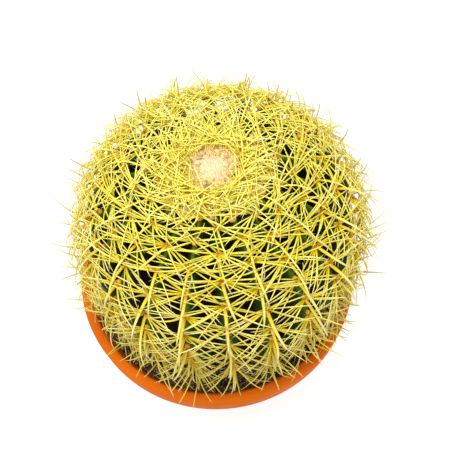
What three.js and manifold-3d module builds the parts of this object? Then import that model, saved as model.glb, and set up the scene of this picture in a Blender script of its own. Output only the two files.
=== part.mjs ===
// Golden-spined globe cactus in a round plastic pot, in millimetres, +Z up.
// The origin is the centre of the pot's flat base, where it stands on the ground.
// Azimuth is measured from -Y towards +X, and the front rib is near azimuth 0.

import * as THREE from 'three';
import { mergeVertices } from 'three/addons/utils/BufferGeometryUtils.js';
import Module from 'manifold-3d';

const wasm = await Module();
wasm.setup();

// Driving dimensions of the pot
const RIM_RADIUS = 120;
const POT_HEIGHT = 150;
const BASE_RADIUS = 84;
const WALL = 3;
const SKIRT_HEIGHT = 22;
const SKIRT_THICKNESS = 2.6;
const RIM_WIDTH = 9.5;
const LIP_THICKNESS = 5;
const BASE_CHAMFER = 2;
// The rolled rim's section, as steps in from the rim's edge and down from its top
const RIM_SECTION = [[0.4, SKIRT_HEIGHT], [0, 5.5], [1.1, 2], [3.4, 0], [6.9, 0.4], [9, 2.6]];
const RIM_MEETS_WALL = 8;
const DRAIN_HOLES = 8;
const DRAIN_RADIUS = 6;
const DRAIN_CIRCLE_RADIUS = 58;
const CHANNEL_WIDTH = 7;
const CHANNEL_DEPTH = 1.2;
const POT_SEGMENTS = 48;

// Driving dimensions of the soil
const SOIL_BELOW_RIM = 11;
const SOIL_RELIEF = 1.3;
const SOIL_EDGE_RELIEF = 0.4;
const CLEARANCE = 0.35;

// Driving dimensions of the plant's body
const RIBS = 22;
const BODY_RADIUS = 102;
const CROWN_RISE = 71;
const FOOT_DROP = 144;
const WIDEST_ABOVE_RIM = 84;
const SHOULDER_POWER = 0.8;
const CROWN_DIMPLE = 4;
const CROWN_DIMPLE_RADIUS = 26;
const FURROW_DEPTH = 17;
const FURROWS_BEGIN = 4;
const FURROWS_FULL = 80;
const FURROWS_FADE_ABOVE_SOIL = 75;
const FURROW_FADE = 0.8;
const RIBS_END_BELOW_SOIL = 5;
const FLANK_SHARE = 0.44;
const COLUMNS_PER_RIB = 4;
const ROOT_STUB_RADIUS = 13;
const PLANT_OFFSET_X = 6.5;
const LEAN_LEFT = THREE.MathUtils.degToRad(1.7);
const LEAN_BACK = THREE.MathUtils.degToRad(2.1);
const FIRST_RIB_AZIMUTH = THREE.MathUtils.degToRad(-1.8);

// Driving dimensions of the areoles and spines
const AREOLE_PITCH = 16.5;
const FIRST_AREOLE_EVEN_RIB = 29;
const FIRST_AREOLE_ODD_RIB = 21.2;
const LAST_AREOLE = 222;
const AREOLE_HALF_WIDTH = 3.2;
const AREOLE_HALF_LENGTH = 3.4;
const AREOLE_HEIGHT = 3;
const LATERAL_SPINE = 24;
const CENTRAL_SPINE = 33;
const UPPER_SPINE = 25;
const CROWN_SPINE = 14;
const WOOL_RADIUS = 23;
const WOOL_HEIGHT = 4;
const SPINE_SEED = 17;
const GRID = 0.01;
const MERGED_DETAIL = 0.1;

const SOIL_LEVEL = POT_HEIGHT - SOIL_BELOW_RIM;
const BODY_CENTRE_Z = POT_HEIGHT + WIDEST_ABOVE_RIM;
const SECTOR = (2 * Math.PI) / RIBS;

// A seeded random number generator, so that every build gives the same plant
function seededRandom(seed) {
  let state = seed;
  return () => {
    state = (state + 0x6d2b79f5) | 0;
    let t = Math.imul(state ^ (state >>> 15), 1 | state);
    t = (t + Math.imul(t ^ (t >>> 7), 61 | t)) ^ t;
    return ((t ^ (t >>> 14)) >>> 0) / 4294967296;
  };
}

// Solids and geometries

function geometryFrom(points, faces) {
  const geometry = new THREE.BufferGeometry();
  const flat = new Float32Array(points.length * 3);
  points.forEach((p, i) => p.toArray(flat, 3 * i));
  geometry.setAttribute('position', new THREE.BufferAttribute(flat, 3));
  geometry.setIndex(faces.flat());
  return geometry;
}

function solidFrom(source) {
  const bare = source.clone();
  bare.deleteAttribute('normal');
  bare.deleteAttribute('uv');
  const merged = mergeVertices(bare, 1e-3);
  const index = merged.index.array;
  const kept = [];
  for (let i = 0; i < index.length; i += 3) {
    const [a, b, c] = [index[i], index[i + 1], index[i + 2]];
    if (a !== b && b !== c && c !== a) kept.push(a, b, c);
  }
  return new wasm.Manifold(new wasm.Mesh({
    numProp: 3,
    vertProperties: new Float32Array(merged.attributes.position.array),
    triVerts: new Uint32Array(kept),
  }));
}

// Moves a point to a fine grid, so that no two corners of a fused solid almost meet
function snapToGrid(point) {
  for (let axis = 0; axis < 3; axis += 1) point[axis] = Math.round(point[axis] / GRID) * GRID;
}

function geometryOf(solid) {
  const { vertProperties, triVerts } = solid.getMesh();
  const geometry = new THREE.BufferGeometry();
  geometry.setAttribute('position', new THREE.BufferAttribute(vertProperties.slice(), 3));
  geometry.setIndex(new THREE.BufferAttribute(triVerts.slice(), 1));
  return geometry;
}

function turnedSolid(profile, segments) {
  const points = profile.map(([r, z]) => new THREE.Vector2(r, z));
  const lathe = new THREE.LatheGeometry(points, segments);
  lathe.rotateX(Math.PI / 2);
  return solidFrom(lathe);
}

function namedMesh(name, geometry, color, roughness) {
  const material = new THREE.MeshStandardMaterial({ color, roughness, metalness: 0 });
  geometry.computeVertexNormals();
  const mesh = new THREE.Mesh(geometry, material);
  mesh.name = name;
  return mesh;
}

// The pot

function wallRadius(z) {
  const top = RIM_RADIUS - RIM_WIDTH + WALL;
  return THREE.MathUtils.lerp(BASE_RADIUS, top, z / POT_HEIGHT);
}

function potSolid() {
  const skirtFoot = POT_HEIGHT - SKIRT_HEIGHT;
  const lipUnderside = POT_HEIGHT - LIP_THICKNESS;
  const innerTop = POT_HEIGHT - RIM_MEETS_WALL;
  const innerCorner = WALL + BASE_CHAMFER;
  const profile = [
    [0, 0],
    [BASE_RADIUS - BASE_CHAMFER, 0],
    [wallRadius(BASE_CHAMFER), BASE_CHAMFER],
    [wallRadius(lipUnderside), lipUnderside],
    [RIM_RADIUS - SKIRT_THICKNESS, lipUnderside],
    [RIM_RADIUS - SKIRT_THICKNESS, skirtFoot],
    ...RIM_SECTION.map(([inwards, down]) => [RIM_RADIUS - inwards, POT_HEIGHT - down]),
    [wallRadius(innerTop) - WALL, innerTop],
    [wallRadius(innerCorner) - WALL, innerCorner],
    [wallRadius(WALL) - WALL - BASE_CHAMFER, WALL],
    [0, WALL],
  ];
  let pot = turnedSolid(profile, POT_SEGMENTS);
  for (let i = 0; i < DRAIN_HOLES; i += 1) {
    const azimuth = ((i + 0.5) * 2 * Math.PI) / DRAIN_HOLES;
    const hole = new THREE.CylinderGeometry(DRAIN_RADIUS, DRAIN_RADIUS, 4 * WALL, 12);
    hole.rotateX(Math.PI / 2);
    hole.translate(DRAIN_CIRCLE_RADIUS, 0, 0);
    hole.rotateZ(azimuth);
    const length = BASE_RADIUS + 2 - DRAIN_CIRCLE_RADIUS;
    const channel = new THREE.BoxGeometry(length, CHANNEL_WIDTH, 2 * CHANNEL_DEPTH);
    channel.translate(DRAIN_CIRCLE_RADIUS + length / 2, 0, 0);
    channel.rotateZ(azimuth);
    pot = pot.subtract(solidFrom(hole)).subtract(solidFrom(channel));
  }
  return pot;
}

// The plant's body: a meridian curve for the rib crests, with furrows sunk between them

function meridianCurve() {
  const steps = 400;
  const points = [];
  for (let i = 0; i <= steps; i += 1) {
    const polar = (i / steps) * THREE.MathUtils.degToRad(150);
    const drop = Math.cos(polar) > 0 ? CROWN_RISE : FOOT_DROP;
    const r = BODY_RADIUS * Math.sin(polar) ** SHOULDER_POWER;
    const sunk = CROWN_DIMPLE * Math.exp(-((r / CROWN_DIMPLE_RADIUS) ** 2));
    points.push(new THREE.Vector2(r, drop * Math.cos(polar) - sunk));
  }
  const lengths = [0];
  for (let i = 1; i < points.length; i += 1) {
    lengths.push(lengths[i - 1] + points[i].distanceTo(points[i - 1]));
  }
  return { points, lengths };
}

const meridian = meridianCurve();

// The crest point at an arc length down from the crown
function crestAt(s) {
  let i = 1;
  while (i < meridian.lengths.length - 1 && meridian.lengths[i] < s) i += 1;
  const t = (s - meridian.lengths[i - 1]) / (meridian.lengths[i] - meridian.lengths[i - 1]);
  return meridian.points[i - 1].clone().lerp(meridian.points[i], t);
}

function crestLengthAtHeight(z) {
  const i = meridian.points.findIndex((p, k) => k > 1 && p.y < z && p.x > CROWN_DIMPLE_RADIUS);
  return meridian.lengths[i];
}

const SOIL_LENGTH = crestLengthAtHeight(SOIL_LEVEL - BODY_CENTRE_Z);
const RIBS_END = SOIL_LENGTH + RIBS_END_BELOW_SOIL;

function furrowDepth(s) {
  const opening = THREE.MathUtils.smoothstep(s, FURROWS_BEGIN, FURROWS_FULL);
  const fadeFrom = SOIL_LENGTH - FURROWS_FADE_ABOVE_SOIL;
  const closing = THREE.MathUtils.smoothstep(s, fadeFrom, RIBS_END);
  return FURROW_DEPTH * opening * (1 - FURROW_FADE * closing);
}

const COLUMNS = RIBS * COLUMNS_PER_RIB;

// How deep each of a rib's four columns lies: crest, flank, furrow, flank
function columnPoint(s, column) {
  const crest = crestAt(s);
  const along = ((column % COLUMNS_PER_RIB) + COLUMNS_PER_RIB) % COLUMNS_PER_RIB;
  const share = [0, FLANK_SHARE, 1, FLANK_SHARE][along];
  const before = crestAt(Math.max(s - 1, 0));
  const after = crestAt(s + 1);
  const tangent = after.sub(before).normalize();
  const sink = furrowDepth(s) * share;
  const r = crest.x + tangent.y * sink;
  const z = crest.y - tangent.x * sink;
  const azimuth = (column / COLUMNS) * 2 * Math.PI;
  return new THREE.Vector3(r * Math.sin(azimuth), -r * Math.cos(azimuth), z);
}

const CROWN_ROWS = [8, 18];
const BODY_ROWS = [...CROWN_ROWS];
for (let s = FIRST_AREOLE_EVEN_RIB; s < SOIL_LENGTH; s += AREOLE_PITCH) {
  BODY_ROWS.push(s);
}
BODY_ROWS.push(RIBS_END);

const soilRow = crestAt(RIBS_END);
// Under the soil the ribs end and the base draws in to a short tap root
const ROOT_ROWS = [
  [soilRow.x - 5, soilRow.y - 10],
  [soilRow.x * 0.72, soilRow.y - 22],
  [soilRow.x * 0.42, soilRow.y - 30],
  [ROOT_STUB_RADIUS, soilRow.y - 36],
  [ROOT_STUB_RADIUS * 0.6, soilRow.y - 66],
];

function rootPoint(r, z, rib) {
  const azimuth = rib * SECTOR;
  return new THREE.Vector3(r * Math.sin(azimuth), -r * Math.cos(azimuth), z);
}

// Joins two closed rings of points, the upper with a whole multiple of the lower's count
function ringFaces(upper, upperCount, lower, lowerCount) {
  const faces = [];
  const ratio = upperCount / lowerCount;
  for (let i = 0; i < lowerCount; i += 1) {
    const low = lower + i;
    const lowNext = lower + ((i + 1) % lowerCount);
    for (let k = 0; k < ratio; k += 1) {
      const high = upper + i * ratio + k;
      const highNext = upper + ((i * ratio + k + 1) % upperCount);
      faces.push([low, highNext, high]);
    }
    faces.push([low, lowNext, upper + (((i + 1) * ratio) % upperCount)]);
  }
  return faces;
}

// Joins a point to the ring of points around it
function fanFaces(middle, ring, count) {
  const faces = [];
  for (let i = 0; i < count; i += 1) faces.push([middle, ring + i, ring + ((i + 1) % count)]);
  return faces;
}

function bodyGeometry() {
  const points = [new THREE.Vector3(0, 0, crestAt(0).y)];
  const faces = [];
  BODY_ROWS.forEach((s, row) => {
    const start = points.length;
    for (let column = 0; column < COLUMNS; column += 1) points.push(columnPoint(s, column));
    if (row === 0) faces.push(...fanFaces(0, start, COLUMNS));
    else faces.push(...ringFaces(start - COLUMNS, COLUMNS, start, COLUMNS));
  });
  let above = points.length - COLUMNS;
  let aboveCount = COLUMNS;
  for (const [r, z] of ROOT_ROWS) {
    const start = points.length;
    for (let rib = 0; rib < RIBS; rib += 1) points.push(rootPoint(r, z, rib));
    faces.push(...ringFaces(above, aboveCount, start, RIBS));
    above = start;
    aboveCount = RIBS;
  }
  const tip = points.length;
  points.push(new THREE.Vector3(0, 0, ROOT_ROWS.at(-1)[1] - 4));
  for (let rib = 0; rib < RIBS; rib += 1) {
    faces.push([tip, above + ((rib + 1) % RIBS), above + rib]);
  }
  return geometryFrom(points, faces);
}

// The soil: a filled cone with a rough top, and a plain socket for the plant's base

function soilHeight(x, y) {
  const broad = Math.sin(x * 0.071 + 1.3) * Math.cos(y * 0.083 - 0.4);
  const fine = Math.sin(x * 0.19 + y * 0.13) * Math.cos(y * 0.21 - x * 0.11);
  return SOIL_LEVEL + SOIL_RELIEF * (0.6 * broad + 0.4 * fine);
}

function soilSolid(placing) {
  const edge = wallRadius(SOIL_LEVEL) - WALL - CLEARANCE;
  const corner = wallRadius(WALL + BASE_CHAMFER) - WALL - CLEARANCE;
  const rings = [
    { r: corner - BASE_CHAMFER, z: WALL + CLEARANCE, relief: 0 },
    { r: corner, z: WALL + BASE_CHAMFER + CLEARANCE, relief: 0 },
    { r: edge, z: SOIL_LEVEL, relief: SOIL_EDGE_RELIEF },
    { r: edge * 0.93, z: SOIL_LEVEL, relief: 1 },
    { r: edge * 0.84, z: SOIL_LEVEL, relief: 1 },
    { r: edge * 0.5, z: SOIL_LEVEL, relief: 1 },
  ];
  const points = [new THREE.Vector3(0, 0, WALL + CLEARANCE)];
  const faces = [];
  rings.forEach(({ r, z, relief }, ring) => {
    const start = points.length;
    for (let i = 0; i < POT_SEGMENTS; i += 1) {
      const azimuth = (i / POT_SEGMENTS) * 2 * Math.PI;
      const x = r * Math.sin(azimuth);
      const y = r * Math.cos(azimuth);
      points.push(new THREE.Vector3(x, y, z + relief * (soilHeight(x, y) - z)));
    }
    if (ring === 0) faces.push(...fanFaces(0, start, POT_SEGMENTS));
    else faces.push(...ringFaces(start - POT_SEGMENTS, POT_SEGMENTS, start, POT_SEGMENTS));
  });
  const middle = points.length;
  points.push(new THREE.Vector3(0, 0, SOIL_LEVEL));
  for (let i = 0; i < POT_SEGMENTS; i += 1) {
    const next = (i + 1) % POT_SEGMENTS;
    faces.push([middle, middle - POT_SEGMENTS + next, middle - POT_SEGMENTS + i]);
  }
  const socket = socketGeometry();
  socket.applyMatrix4(placing);
  return solidFrom(geometryFrom(points, faces)).subtract(solidFrom(socket));
}

// The socket follows the crests and the root with the clearance all round
function socketGeometry() {
  const upper = crestAt(SOIL_LENGTH - 12);
  const lower = crestAt(RIBS_END);
  const rows = [
    [upper.x, upper.y],
    [lower.x, lower.y],
    ...ROOT_ROWS,
  ];
  const points = [new THREE.Vector3(0, 0, upper.y)];
  const faces = [];
  rows.forEach(([r, z], row) => {
    const start = points.length;
    const down = row < 2 ? 0 : CLEARANCE;
    for (let rib = 0; rib < RIBS; rib += 1) points.push(rootPoint(r + CLEARANCE, z - down, rib));
    if (row === 0) faces.push(...fanFaces(0, start, RIBS));
    else faces.push(...ringFaces(start - RIBS, RIBS, start, RIBS));
  });
  const last = points.length - RIBS;
  const tip = points.length;
  points.push(new THREE.Vector3(0, 0, ROOT_ROWS.at(-1)[1] - 4 - 2 * CLEARANCE));
  for (let rib = 0; rib < RIBS; rib += 1) faces.push([tip, last + ((rib + 1) % RIBS), last + rib]);
  return geometryFrom(points, faces);
}

// Areoles and spines

// A point on the faceted body, between its rows and columns
function surfacePoint(s, column) {
  let row = 1;
  while (row < BODY_ROWS.length - 1 && BODY_ROWS[row] < s) row += 1;
  const above = BODY_ROWS[row - 1];
  const below = BODY_ROWS[row];
  const t = (s - above) / (below - above);
  const left = Math.floor(column);
  const across = column - left;
  const high = columnPoint(above, left).lerp(columnPoint(above, left + 1), across);
  const low = columnPoint(below, left).lerp(columnPoint(below, left + 1), across);
  return high.lerp(low, t);
}

// The local directions at a crest point: east along the rib's azimuth, south down the rib, out
function crestFrame(s, rib) {
  const azimuth = rib * SECTOR;
  const east = new THREE.Vector3(Math.cos(azimuth), Math.sin(azimuth), 0);
  const north = surfacePoint(s - 2, rib * COLUMNS_PER_RIB);
  const south = surfacePoint(s + 2, rib * COLUMNS_PER_RIB).sub(north).normalize();
  const out = new THREE.Vector3().crossVectors(south, east).normalize();
  return { east, south, out };
}

const PAD_SIDES = 8;
const BAR_LIFT = 1.05;

// Where an areole's eight ring points, its underside's middle and its top lie
function padPoints(s, rib) {
  const { east, out } = crestFrame(s, rib);
  const columnWidth = (crestAt(s).x * SECTOR) / COLUMNS_PER_RIB;
  const halfWidth = Math.min(AREOLE_HALF_WIDTH, 0.92 * columnWidth);
  const points = [];
  for (let i = 0; i < PAD_SIDES; i += 1) {
    const angle = ((i - 0.5) * 2 * Math.PI) / PAD_SIDES;
    const acrossColumns = (halfWidth * Math.cos(angle)) / columnWidth;
    const down = AREOLE_HALF_LENGTH * Math.sin(angle);
    const atEnd = Math.abs(Math.sin(angle)) > 0.9;
    if (atEnd) {
      // The ends lie level over the crest, so that the bars between areoles clear it
      const ridge = surfacePoint(s + down, rib * COLUMNS_PER_RIB);
      ridge.addScaledVector(east, halfWidth * Math.cos(angle));
      points.push(ridge.addScaledVector(out, BAR_LIFT));
    } else {
      const column = rib * COLUMNS_PER_RIB + acrossColumns;
      points.push(surfacePoint(s + down, column).addScaledVector(out, CLEARANCE + 0.3));
    }
  }
  const crest = surfacePoint(s, rib * COLUMNS_PER_RIB);
  points.push(crest.clone().addScaledVector(out, CLEARANCE + 0.1));
  points.push(crest.clone().addScaledVector(out, AREOLE_HEIGHT));
  return points;
}

// Facets are numbered from east towards south; the bar to the next areole leaves at the south
const SOUTH_FACET = 2;
const NORTH_FACET = 6;
const SPINES = [
  { facet: 1, angle: 52, rise: 42, length: CENTRAL_SPINE, from: 0, to: 250 },
  { facet: 3, angle: 128, rise: 42, length: CENTRAL_SPINE, from: 0, to: 250 },
  { facet: 5, angle: 228, rise: 58, length: UPPER_SPINE, from: 0, to: 200 },
  { facet: 7, angle: 312, rise: 58, length: UPPER_SPINE, from: 0, to: 200 },
  { facet: 0, angle: 2, rise: 27, length: LATERAL_SPINE, from: 45, to: 250 },
  { facet: 4, angle: 178, rise: 27, length: LATERAL_SPINE, from: 45, to: 250 },
];
const LAST_SPINE = { angle: 90, rise: 34, length: LATERAL_SPINE * 0.7 };
const PLACING_TRIES = 14;
const ROOT_THICKNESS = 1.5;
const TIP_THICKNESS = 0.2;

// Shortest distance between two rods that taper along their length, less their thickness
function rodGap(a, b) {
  const u = a.to.clone().sub(a.from);
  const v = b.to.clone().sub(b.from);
  const w = a.from.clone().sub(b.from);
  const [uu, uv, vv] = [u.dot(u), u.dot(v), v.dot(v)];
  const [uw, vw] = [u.dot(w), v.dot(w)];
  const spread = uu * vv - uv * uv;
  let along = spread > 1e-9 ? THREE.MathUtils.clamp((uv * vw - vv * uw) / spread, 0, 1) : 0;
  const other = THREE.MathUtils.clamp((along * uv + vw) / vv, 0, 1);
  along = THREE.MathUtils.clamp((other * uv - uw) / uu, 0, 1);
  const nearA = a.from.clone().addScaledVector(u, along);
  const nearB = b.from.clone().addScaledVector(v, other);
  const thickness = THREE.MathUtils.lerp(a.root, a.tip, along)
    + THREE.MathUtils.lerp(b.root, b.tip, other);
  return nearA.distanceTo(nearB) - thickness;
}

// The rods already placed, which every new spine keeps clear of
class Thicket {
  constructor() {
    this.rods = [];
  }

  add(from, to, root, tip, owners) {
    this.rods.push({ from, to, root, tip, owners });
  }

  isClear(from, to, owner) {
    const rod = { from, to, root: ROOT_THICKNESS, tip: TIP_THICKNESS };
    return this.rods.every((r) => r.owners.includes(owner) || rodGap(rod, r) > 0.3);
  }
}

function stationsOf(rib) {
  const stations = [];
  const first = rib % 2 === 0 ? FIRST_AREOLE_EVEN_RIB : FIRST_AREOLE_ODD_RIB;
  for (let s = first; s <= LAST_AREOLE; s += AREOLE_PITCH) stations.push(s);
  return stations;
}

function ownerName(rib, station) {
  return `${rib}:${station}`;
}

// The felt cushions and the bars between them are in the thicket before any spine
function plantThicket() {
  const thicket = new Thicket();
  for (let rib = 0; rib < RIBS; rib += 1) {
    stationsOf(rib).forEach((s, station, stations) => {
      const { out } = crestFrame(s, rib);
      const crest = surfacePoint(s, rib * COLUMNS_PER_RIB);
      const top = crest.clone().addScaledVector(out, AREOLE_HEIGHT);
      const own = ownerName(rib, station);
      thicket.add(crest, top, AREOLE_HALF_WIDTH, 1, [own]);
      if (station + 1 === stations.length) return;
      const below = stations[station + 1];
      const end = surfacePoint(below, rib * COLUMNS_PER_RIB);
      end.addScaledVector(crestFrame(below, rib).out, AREOLE_HEIGHT - 1);
      const start = crest.clone().addScaledVector(out, AREOLE_HEIGHT - 1);
      thicket.add(start, end, ROOT_THICKNESS, ROOT_THICKNESS, [own, ownerName(rib, station + 1)]);
    });
  }
  return thicket;
}

const CLEAR_OF_SOIL = 2;
const CLEAR_OF_RIM = 3;
const RIM_ZONE = 15.5;

// Keeps a spine's tip off the soil and the pot's rim
function clearOfPot(tip, placing) {
  const world = tip.clone().applyMatrix4(placing);
  const reach = Math.hypot(world.x, world.y);
  const overRim = reach > RIM_RADIUS - RIM_ZONE;
  const soilFloor = SOIL_LEVEL + SOIL_RELIEF + CLEAR_OF_SOIL;
  const floor = overRim ? POT_HEIGHT + CLEAR_OF_RIM : soilFloor;
  if (world.z < floor) world.z = floor;
  return world.applyMatrix4(placing.clone().invert());
}

// Draws a tip at random near a spine's own direction, until the spine touches no other one
function clearTip(s, rib, spine, root, owner, grove) {
  const { random, placing, thicket } = grove;
  const { east, south, out } = crestFrame(s, rib);
  const crowding = 1 - THREE.MathUtils.smoothstep(s, 20, 110);
  for (let attempt = 0; attempt < PLACING_TRIES; attempt += 1) {
    const spread = 1 + attempt / 3;
    const turn = spine.angle + 10 * spread * (random() - 0.5);
    const angle = THREE.MathUtils.degToRad(turn);
    const steepness = spine.rise + 20 * crowding + 7 * spread * (random() - 0.5);
    const rise = THREE.MathUtils.degToRad(Math.min(steepness, 80));
    const length = spine.length * (0.92 + 0.16 * random()) * (1 - 0.2 * crowding);
    const tip = root.clone()
      .addScaledVector(east, length * Math.cos(rise) * Math.cos(angle))
      .addScaledVector(south, length * Math.cos(rise) * Math.sin(angle))
      .addScaledVector(out, length * Math.sin(rise));
    const kept = clearOfPot(tip, placing);
    if (thicket.isClear(root, kept, owner)) {
      thicket.add(root, kept, ROOT_THICKNESS, TIP_THICKNESS, [owner]);
      return kept;
    }
  }
  return null;
}

function middleOf(corners, points) {
  const sum = corners.reduce((total, corner) => total.add(points[corner]), new THREE.Vector3());
  return sum.divideScalar(corners.length);
}

// Replaces a facet with the three sides of a spine that end in a point
function drawOut(corners, tipPoint, points, faces) {
  const tip = points.length;
  points.push(tipPoint);
  for (let k = 0; k < 3; k += 1) faces.push([corners[k], corners[(k + 1) % 3], tip]);
}

// One rib's areoles in one closed solid: each is a felt cushion with spines drawn out of its
// facets, joined to the next by the low central spine that lies along the crest
function ribChain(rib, grove) {
  const stations = stationsOf(rib);
  const points = [];
  const faces = [];
  let above = 0;
  stations.forEach((s, station) => {
    const start = points.length;
    const base = start + PAD_SIDES;
    const top = base + 1;
    const owner = ownerName(rib, station);
    points.push(...padPoints(s, rib));
    const facet = (i) => [start + ((i + 1) % PAD_SIDES), start + i, top];
    for (let i = 0; i < PAD_SIDES; i += 1) {
      faces.push([base, start + i, start + ((i + 1) % PAD_SIDES)]);
    }
    const place = (corners, spine) => {
      const tip = clearTip(s, rib, spine, middleOf(corners, points), owner, grove);
      if (tip) drawOut(corners, tip, points, faces);
      else faces.push(corners);
    };
    for (const spine of SPINES) {
      if (s < spine.from || s > spine.to) faces.push(facet(spine.facet));
      else place(facet(spine.facet), spine);
    }
    if (station === 0) {
      // The first areole reaches up into the crown's wool
      const inWool = surfacePoint(WOOL_RADIUS - 9, rib * COLUMNS_PER_RIB);
      inWool.addScaledVector(crestFrame(WOOL_RADIUS - 9, rib).out, CLEARANCE + 1.3);
      drawOut(facet(NORTH_FACET), inWool, points, faces);
    } else {
      // The bar from the areole above comes in at the north facet
      const from = [above + SOUTH_FACET + 1, above + SOUTH_FACET, above + PAD_SIDES + 1];
      const to = [start + NORTH_FACET, start + NORTH_FACET + 1, top];
      for (let k = 0; k < 3; k += 1) {
        const next = (k + 1) % 3;
        faces.push([from[k], from[next], to[next]], [from[k], to[next], to[k]]);
      }
    }
    if (station === stations.length - 1) place(facet(SOUTH_FACET), LAST_SPINE);
    above = start;
  });
  return solidFrom(geometryFrom(points, faces));
}

// The crown's wool: a low lumpy cap over the growing point, with young spines drawn out of it
function woolSolid({ random, thicket }) {
  const rings = [
    { s: 8, lift: WOOL_HEIGHT },
    { s: 16, lift: WOOL_HEIGHT * 0.9 },
    { s: WOOL_RADIUS, lift: 1.6 },
    { s: WOOL_RADIUS, lift: CLEARANCE },
    { s: CROWN_ROWS[1], lift: CLEARANCE },
    { s: CROWN_ROWS[0], lift: CLEARANCE },
  ];
  const points = [new THREE.Vector3(0, 0, crestAt(0).y + WOOL_HEIGHT * 0.8)];
  const faces = [];
  const young = [];
  rings.forEach(({ s, lift }, ring) => {
    const start = points.length;
    for (let rib = 0; rib < RIBS; rib += 1) {
      const { out } = crestFrame(s, rib);
      const lump = ring < 2 ? 1.2 * (random() - 0.5) : 0;
      points.push(surfacePoint(s, rib * COLUMNS_PER_RIB).addScaledVector(out, lift + lump));
    }
    for (let rib = 0; rib < RIBS; rib += 1) {
      const next = (rib + 1) % RIBS;
      const high = start - RIBS;
      const left = [start + rib, high + next, high + rib];
      const right = [start + rib, start + next, high + next];
      if (ring === 0) faces.push([0, start + rib, start + next]);
      else if (ring > 2) faces.push(left, right);
      else {
        young.push(ring === 1 ? left : right);
        faces.push(ring === 1 ? right : left);
      }
    }
  });
  const under = points.length;
  points.push(new THREE.Vector3(0, 0, crestAt(0).y + CLEARANCE));
  for (let rib = 0; rib < RIBS; rib += 1) {
    faces.push([under, under - RIBS + ((rib + 1) % RIBS), under - RIBS + rib]);
  }
  young.forEach((corners, i) => {
    const root = middleOf(corners, points);
    const outward = new THREE.Vector3(root.x, root.y, 0).normalize();
    const swirl = new THREE.Vector3(-outward.y, outward.x, 0);
    const slant = i < RIBS ? 0.25 : 0.75;
    for (let attempt = 0; attempt < PLACING_TRIES; attempt += 1) {
      const direction = new THREE.Vector3(0, 0, 1)
        .addScaledVector(outward, slant + 0.5 * (random() - 0.5))
        .addScaledVector(swirl, 0.8 * (random() - 0.5))
        .normalize();
      const length = CROWN_SPINE * (0.8 + 0.4 * random());
      const tip = root.clone().addScaledVector(direction, length);
      if (thicket.isClear(root, tip, 'none')) {
        thicket.add(root, tip, ROOT_THICKNESS, TIP_THICKNESS, ['none']);
        drawOut(corners, tip, points, faces);
        return;
      }
    }
    faces.push(corners);
  });
  return solidFrom(geometryFrom(points, faces));
}

function spinesSolid(placing) {
  const grove = { random: seededRandom(SPINE_SEED), placing, thicket: plantThicket() };
  const solids = [woolSolid(grove)];
  for (let rib = 0; rib < RIBS; rib += 1) solids.push(ribChain(rib, grove));
  const joined = solids.reduce((all, solid) => all.add(solid));
  return joined.warp(snapToGrid).simplify(MERGED_DETAIL);
}

// The assembly

const plant = new THREE.Group();
plant.position.set(PLANT_OFFSET_X, 0, BODY_CENTRE_Z);
plant.rotation.set(-LEAN_BACK, -LEAN_LEFT, 0);
plant.rotateZ(FIRST_RIB_AZIMUTH);
plant.updateMatrix();

const cactusBody = namedMesh('cactus_body', bodyGeometry(), 0x3c6b2a, 0.55);
const spines = namedMesh('spines', geometryOf(spinesSolid(plant.matrix)), 0xecd54a, 0.5);
plant.add(cactusBody, spines);

const pot = namedMesh('pot', geometryOf(potSolid()), 0xd9601a, 0.4);
const soil = namedMesh('soil', geometryOf(soilSolid(plant.matrix)), 0x2b1c12, 0.95);

const pottedCactus = new THREE.Group();
pottedCactus.add(pot, soil, plant);

export default pottedCactus;
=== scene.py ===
"""Potted round cactus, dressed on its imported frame.

Lengths are in metres in the frame's own axes: +Z up, origin at the centre of the pot's base,
-Y to the side that faces the camera. The plant has axes of its own, which lean a little.
"""

import math

import bmesh
import bpy
import numpy as np
from bpy.props import FloatProperty, FloatVectorProperty, IntProperty, PointerProperty
from mathutils import Matrix, Vector


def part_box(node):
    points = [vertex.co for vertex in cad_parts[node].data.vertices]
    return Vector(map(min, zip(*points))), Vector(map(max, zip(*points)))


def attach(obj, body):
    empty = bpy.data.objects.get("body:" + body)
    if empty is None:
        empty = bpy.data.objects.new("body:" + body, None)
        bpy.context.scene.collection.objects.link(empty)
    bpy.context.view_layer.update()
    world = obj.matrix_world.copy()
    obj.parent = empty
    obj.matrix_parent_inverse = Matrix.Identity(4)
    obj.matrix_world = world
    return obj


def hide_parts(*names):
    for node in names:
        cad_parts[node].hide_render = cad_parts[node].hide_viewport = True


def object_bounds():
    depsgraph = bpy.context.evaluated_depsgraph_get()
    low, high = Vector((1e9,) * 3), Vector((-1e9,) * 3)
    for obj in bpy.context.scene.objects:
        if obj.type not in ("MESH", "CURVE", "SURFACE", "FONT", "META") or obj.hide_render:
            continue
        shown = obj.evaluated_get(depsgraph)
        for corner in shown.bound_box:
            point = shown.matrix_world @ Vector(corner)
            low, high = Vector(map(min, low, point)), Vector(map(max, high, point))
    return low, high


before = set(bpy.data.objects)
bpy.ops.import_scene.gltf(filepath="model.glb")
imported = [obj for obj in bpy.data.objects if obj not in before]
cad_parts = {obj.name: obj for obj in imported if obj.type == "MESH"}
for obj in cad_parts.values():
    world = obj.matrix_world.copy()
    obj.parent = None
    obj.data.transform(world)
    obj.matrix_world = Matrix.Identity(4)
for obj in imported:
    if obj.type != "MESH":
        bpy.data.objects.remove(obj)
CAD_LOW, CAD_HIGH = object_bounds()
POT_LOW, POT_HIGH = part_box("pot")

bl_info = {
    "name": "Potted round cactus",
    "version": (1, 0, 0),
    "blender": (4, 5, 0),
    "location": "View3D > Sidebar > Cactus",
    "description": "Makes a ribbed globe cactus with yellow spines in a round plastic pot",
    "category": "Add Mesh",
}

MM = 0.001


# Settings


def length(name, description, default):
    return FloatProperty(name=name, description=description, default=default, unit="LENGTH")


def power(name, description, default):
    return FloatProperty(name=name, description=description, default=default, unit="POWER")


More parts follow.
